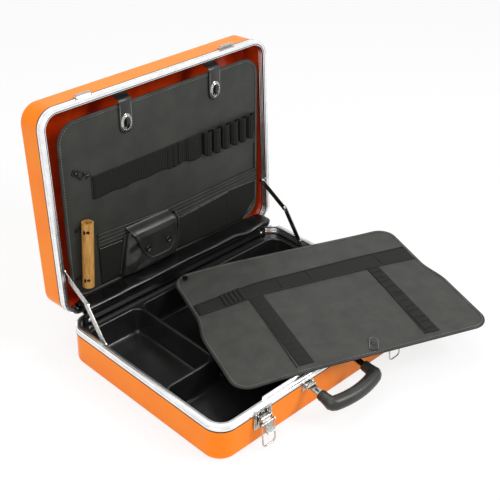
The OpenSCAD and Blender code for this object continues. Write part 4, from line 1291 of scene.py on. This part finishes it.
def cover_route():
    """The sheet's folded run from the base to the lid, seen from its end."""
    foot, leave = (Vector((GUSSET_Y, RIM_Z + up)) for up in (GUSSET_FOOT, GUSSET_LEAVES))
    ridge, crest = Vector(GUSSET_RIDGE), Vector(GUSSET_CREST)
    land, end = (opened(GUSSET_Y, RIM_Z + up) for up in (GUSSET_LANDS, GUSSET_END))
    bends = [(leave, (GUSSET_Y, 70), (152, 72), ridge),
             (ridge, (152.8, 91.5), (168, 86.5), crest),
             (crest, (190, 86), (190.3, 74.9), land)]
    folded = [curve(*bend, i / GUSSET_STEPS) for bend in bends for i in range(GUSSET_STEPS)]
    return [foot, (foot + leave) / 2] + folded + [curve(*bends[-1], 1), end]


def hinge_cover():
    """Folded vinyl sheet over the hinge, whose free part waves and sags."""
    route = cover_route()
    span = GUSSET_X[1] - GUSSET_X[0]
    last = len(route) - 1
    first_free, free_rows = 3, last - 14

    def cover_point(across, down):
        """The rows are held at both ends, and wave where they are free."""
        x = GUSSET_X[0] + across * span
        row = round(down * last)
        y, z = route[row]
        free = math.sin(math.pi * min(1, max(0, (row - first_free) / free_rows)))
        slow = noise.noise(Vector((x / 70, row / 9, 0.3)))
        fine = noise.noise(Vector((x / 22, row / 5, 4.1)))
        sag_right = -6.5 * math.exp(-((x - 154) / 24) ** 2)
        ends = -2.6 * eased(193, 206, abs(x)) * (1 - free)
        return (x, y + free * (2.0 * slow + 0.6 * fine) + ends,
                z + free * (1.6 * slow + sag_right))

    piece = skinned("hinge_cover", shaped_grid(GUSSET_COLUMNS, last, cover_point), HERE, None,
                    SOFT_VINYL, ("hinge_gusset",), offset=0)
    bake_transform(piece)


hinge_cover()


# ---- handle ----

def in_handle(name, bm, material, replaced=(), smooth=45):
    """A piece drawn in the plane of the handle."""
    return finished(name, bm, HANDLE, "handle", material, replaced, smooth)


def grip():
    """Moulded grip: round bow, angular elbows, and sleeves over the straps."""
    half, out, rise = HANDLE_HALF, HANDLE_OUT, 7
    bow = (half * half + rise * rise) / (2 * rise)
    points, sizes = [], []
    for y, size in ((20, 0.66), (20.6, 0.72), (30, 0.78), (37, 0.86)):
        points.append((-half - 0.6, y, 0))
        sizes.append(size)
    for angle in (15, 45, 75):
        a = math.radians(angle)
        points.append((-half + 5.4 - 6 * math.cos(a), out - 4.6 + 6 * math.sin(a), 0))
        sizes.append(0.98)
    arm = len(points)
    sweep = math.asin(half / bow)
    for i in range(1, 16):
        a = sweep * (1 - 2 * i / 16)
        points.append((-bow * math.sin(a), out + rise - bow + bow * math.cos(a), 0))
        sizes.append(1.0)
    mirrored = [(-x, y, z) for x, y, z in reversed(points[:arm])]
    bm = wire(points + mirrored, GRIP_R, radii=sizes + sizes[:arm][::-1], rounds=8)
    in_handle("moulded_grip", bm, GRIP, ("handle_grip",), smooth=50)
    cuff, head = ([(8.2, -0.4), (9.1, 0.0), (9.1, 1.2), (8.2, 1.6)],
                  [(0, 1.5), (1.5, 1.2), (2.6, 0.4), (2.7, 0)])
    rings, slots, heads = bmesh.new(), bmesh.new(), bmesh.new()
    for side in (-1, 1):
        joined(rings, placed(lathe(cuff), Matrix.Translation((side * (half + 0.6), 24, 0))
                             @ Matrix.Rotation(-math.pi / 2, 4, "X")))
        # Dark flat plates at the strap slots and the gap below them: painted shade inside them.
        joined(slots, slab(3.2, 7.5, 1.4, 0.5, 0.1, (side * half, 12.5, 1.05)))
        joined(slots, slab(10.5, 1.2, 0.4, 0.4, 0.1, (side * half, 5.2, 1.05)))
        for end in (-1, 1):
            place = (Matrix.Translation((side * half + end * 8.9, 0, 0))
                     @ Matrix.Rotation(end * math.pi / 2, 4, "Y"))
            joined(heads, placed(lathe(head, steps=20), place))
    in_handle("grip_cuffs", rings, GRIP)
    in_handle("handle_strap_slots", slots, PAINTED_SHADE)
    in_handle("handle_pin_heads", heads, NICKEL)


grip()


# ---- latches ----

LATCH_X = 146
# A lever hangs this far down, from a pin at this y and z, and its dish is this far along.
LEVER_DROP, LEVER_PIN, DISH_ALONG = math.radians(62), (-(CASE_D / 2 + 7.5), 46), 11.5
FACE_Y = -(CASE_D / 2 + 2.5)
TO_FRONT = Matrix.Rotation(math.pi / 2, 4, "X")


def on_front(bm, x, z, out=0.0):
    """Moves a part that faces up to the front of a latch plate."""
    return placed(bm, Matrix.Translation((x, FACE_Y - out, z)) @ TO_FRONT)


def latches():
    """Rivets, slots painted dark as the shade inside them, and pressed ribs on the two latch
    plates.
    """
    rivets, holes = bmesh.new(), bmesh.new()
    for side in (-1, 1):
        x = side * LATCH_X
        for dx, z in ((-13.6, 57.5), (13.6, 57.5), (-13.6, 33), (13.6, 33)):
            joined(rivets, on_front(lathe([(0, 1.1), (1.4, 0.9), (2.3, 0.2), (2.4, 0)],
                                          steps=18), x + dx, z))
        for dx in (-6.3, 6.3):
            joined(holes, on_front(slab(4.2, 7.0, 2.0, 0.35, 0.1), x + dx, 53.0))
        for dx in (-11.4, 11.4):
            joined(holes, on_front(slab(2.2, 20, 1.0, 0.35, 0.1), x + dx, 45))
        joined(rivets, on_front(slab(20, 2.0, 0.9, 0.9, 0.35), x, 59.3))
        joined(holes, on_front(slab(11, 1.6, 0.7, 0.35, 0.1), x, 57.0))
        for dx in (-15.2, 15.2):
            joined(rivets, on_front(slab(1.4, 24, 0.6, 0.7, 0.3), x + dx, 45))
        joined(holes, on_front(slab(13, 8, 2, 0.35, 0.1), x, 33.5))
    finished("latch_plate_rivets", rivets, HERE, "base", NICKEL)
    # Dark plates painted as the shade in the latch plates' slots and holes.
    finished("latch_plate_holes", holes, HERE, "base", PAINTED_SHADE)
    for side, name in ((-1, "left"), (1, "right")):
        dish = slab(12.5, 11, 3, 0.8, 0.35)
        for v in dish.verts:
            v.co.z += 0.8 - 0.018 * v.co.x ** 2
        y = LEVER_PIN[0] - DISH_ALONG * math.cos(LEVER_DROP)
        z = LEVER_PIN[1] - DISH_ALONG * math.sin(LEVER_DROP)
        place = (Matrix.Translation((side * LATCH_X, y - 0.9, z + 0.5))
                 @ Matrix.Rotation(LEVER_DROP, 4, "X"))
        finished(f"lever_{name}_dish", placed(dish, place), HERE, f"lever_{name}", NICKEL)


latches()


def catch_trim():
    """Rivets, and gaps painted dark as the shade inside them, on the lid's catch plates."""
    rivets, holes = bmesh.new(), bmesh.new()
    for side in (-1, 1):
        x = side * LATCH_X
        for dx in (-9, 9):
            joined(rivets, on_front(lathe([(0, 0.9), (1.2, 0.7), (1.9, 0.1), (1.9, 0)],
                                          steps=18), x + dx, RIM_Z + 13.5, 0.2))
        joined(holes, on_front(slab(9, 4.6, 2.0, 0.35, 0.1), x, RIM_Z + 13.5, 0.2))
        for dx in (-7.4, 7.4):
            joined(holes, on_front(slab(3.4, 2.2, 1.0, 0.35, 0.1), x + dx, RIM_Z + 9.4, 0.2))
    finished("catch_rivets", rivets, LID, "lid", NICKEL)
    # Dark plates painted as the shade in the catch plates' gaps.
    finished("catch_holes", holes, LID, "lid", PAINTED_SHADE)


catch_trim()


def hinge_screws():
    """Screw heads along both hinge leaves."""
    low, high = bmesh.new(), bmesh.new()
    back = CASE_D / 2 + 2.3
    for i in range(9):
        x = -180 + 45 * i
        for target, z in ((low, RIM_Z - 7.5), (high, RIM_Z + 7.5)):
            head = lathe([(0, 0.75), (1.3, 0.6), (2.0, 0.15), (2.0, 0)], steps=16)
            joined(target, placed(head, Matrix.Translation((x, back, z))
                                  @ Matrix.Rotation(-math.pi / 2, 4, "X")))
    finished("hinge_screws_base", low, HERE, "base", NICKEL)
    finished("hinge_screws_lid", high, LID, "lid", NICKEL)


hinge_screws()


# ---- plain nodes that keep their shape ----

dress(BRIGHT, "alignment_strip")
dress(NICKEL, "latch_plates", "latch_catches", "latch_pins", "handle_brackets", "handle_pins",
      "hinge_leaf_base", "hinge_leaf_lid", "hinge_pin", "stay_posts_base", "stay_posts_lid",
      "gusset_studs_base", "gusset_studs_lid", "strap_anchors",
      "latch_lever_left", "latch_lever_right", "latch_bail_left", "latch_bail_right",
      "handle_arms", "handle_band", "stay_lower_left", "stay_lower_right",
      "stay_upper_left", "stay_upper_right", "elbow_rivet_left", "elbow_rivet_right")
dress(SNAP, "pallet_eyelet", "key_clip")
dress(CARD, "tool_tube")


# ---- floor, light and camera ----

# The photo's camera, fitted in pixels of the photo and in metres of the case's frame.
FRAME_PX = 500
FOCAL_PX = 1027.63
CENTRE_PX = (235.86, 248.76)
SENSOR_MM = 36
CAMERA_AT = Vector((-0.9725, -0.9198, 1.0373))
LOOKS = Vector((0.6019, 0.5903, -0.5379))
ROLL = math.radians(1.75)


def camera():
    """The photo's view: the horizon's tilt, the crop and the lens are its own."""
    data = bpy.data.cameras.new("camera")
    data.sensor_width = SENSOR_MM
    data.lens = SENSOR_MM * FOCAL_PX / FRAME_PX
    data.shift_x = 0.5 - CENTRE_PX[0] / FRAME_PX
    data.shift_y = CENTRE_PX[1] / FRAME_PX - 0.5
    data.clip_end = 20
    eye = shown(bpy.data.objects.new("camera", data))
    right = LOOKS.cross(Vector((0, 0, 1))).normalized()
    up = right.cross(LOOKS)
    c, s = math.cos(ROLL), math.sin(ROLL)
    right, up = c * right + s * up, c * up - s * right
    turn = Matrix((right, up, -LOOKS.normalized())).transposed().to_4x4()
    eye.matrix_world = Matrix.Translation(CAMERA_AT) @ turn
    SCENE.camera = eye


def seen_straight(tree):
    """One where the camera, a reflection or a view through glass sees it."""
    path = add(tree, "ShaderNodeLightPath").outputs
    seen = add(tree, "ShaderNodeMath",
               {0: path["Is Camera Ray"], 1: path["Is Glossy Ray"]}, operation="MAXIMUM")
    return add(tree, "ShaderNodeMath",
               {0: seen.outputs[0], 1: path["Is Transmission Ray"]},
               operation="MAXIMUM").outputs[0]


def world():
    """Plain white where it is seen, and softer as a light."""
    made = bpy.data.worlds.new("studio")
    made.use_nodes = True
    tree = made.node_tree
    tree.nodes.clear()
    soft = add(tree, "ShaderNodeBackground", {"Color": (1, 1, 1, 1), "Strength": 0.55})
    white = add(tree, "ShaderNodeBackground", {"Color": (1, 1, 1, 1), "Strength": 1.0})
    mix = add(tree, "ShaderNodeMixShader",
              {0: seen_straight(tree), 1: soft.outputs[0], 2: white.outputs[0]})
    add(tree, "ShaderNodeOutputWorld", {"Surface": mix.outputs[0]})
    SCENE.world = made


def floor():
    """Matt white, seen mostly as plain white, with the object's faint shadow."""
    bm = bmesh.new()
    bmesh.ops.create_grid(bm, x_segments=1, y_segments=1, size=3)
    mesh = bpy.data.meshes.new("floor")
    bm.to_mesh(mesh)
    bm.free()
    plane = shown(bpy.data.objects.new("floor", mesh))
    plane.location.z = -0.0005
    material = bpy.data.materials.new("pale floor")
    material.use_nodes = True
    tree = material.node_tree
    shader = tree.nodes["Principled BSDF"]
    settle(shader, Base_Color=(0.93, 0.93, 0.93, 1), Roughness=1, Specular_IOR_Level=0)
    glow = add(tree, "ShaderNodeEmission", {"Color": (1, 1, 1, 1), "Strength": 1.0})
    share = add(tree, "ShaderNodeMath", {0: seen_straight(tree), 1: 0.82},
                operation="MULTIPLY")
    mix = add(tree, "ShaderNodeMixShader",
              {0: share.outputs[0], 1: shader.outputs[0], 2: glow.outputs[0]})
    tree.links.new(mix.outputs[0], tree.nodes["Material Output"].inputs["Surface"])
    mesh.materials.append(material)


def lamp(name, at, towards, size, power):
    """A soft box at a place in metres, with its size in metres and power in watts."""
    data = bpy.data.lights.new(name, "AREA")
    data.shape = "RECTANGLE"
    data.size, data.size_y = size
    data.energy = power
    light = shown(bpy.data.objects.new(name, data))
    light.location = at
    light.rotation_euler = (Vector(towards) - Vector(at)).to_track_quat("-Z", "Y").to_euler()


camera()
world()
floor()
lamp("key", (0.9, -1.5, 1.7), (0, 0, 0.1), (0.8, 0.8), 26)
lamp("fill", (-1.5, -0.5, 1.7), (0, 0, 0.15), (1.5, 1.5), 14)
lamp("top", (0.1, 0.4, 2.2), (0, 0, 0.1), (1.6, 1.6), 14)
SCENE.view_settings.view_transform = "Standard"
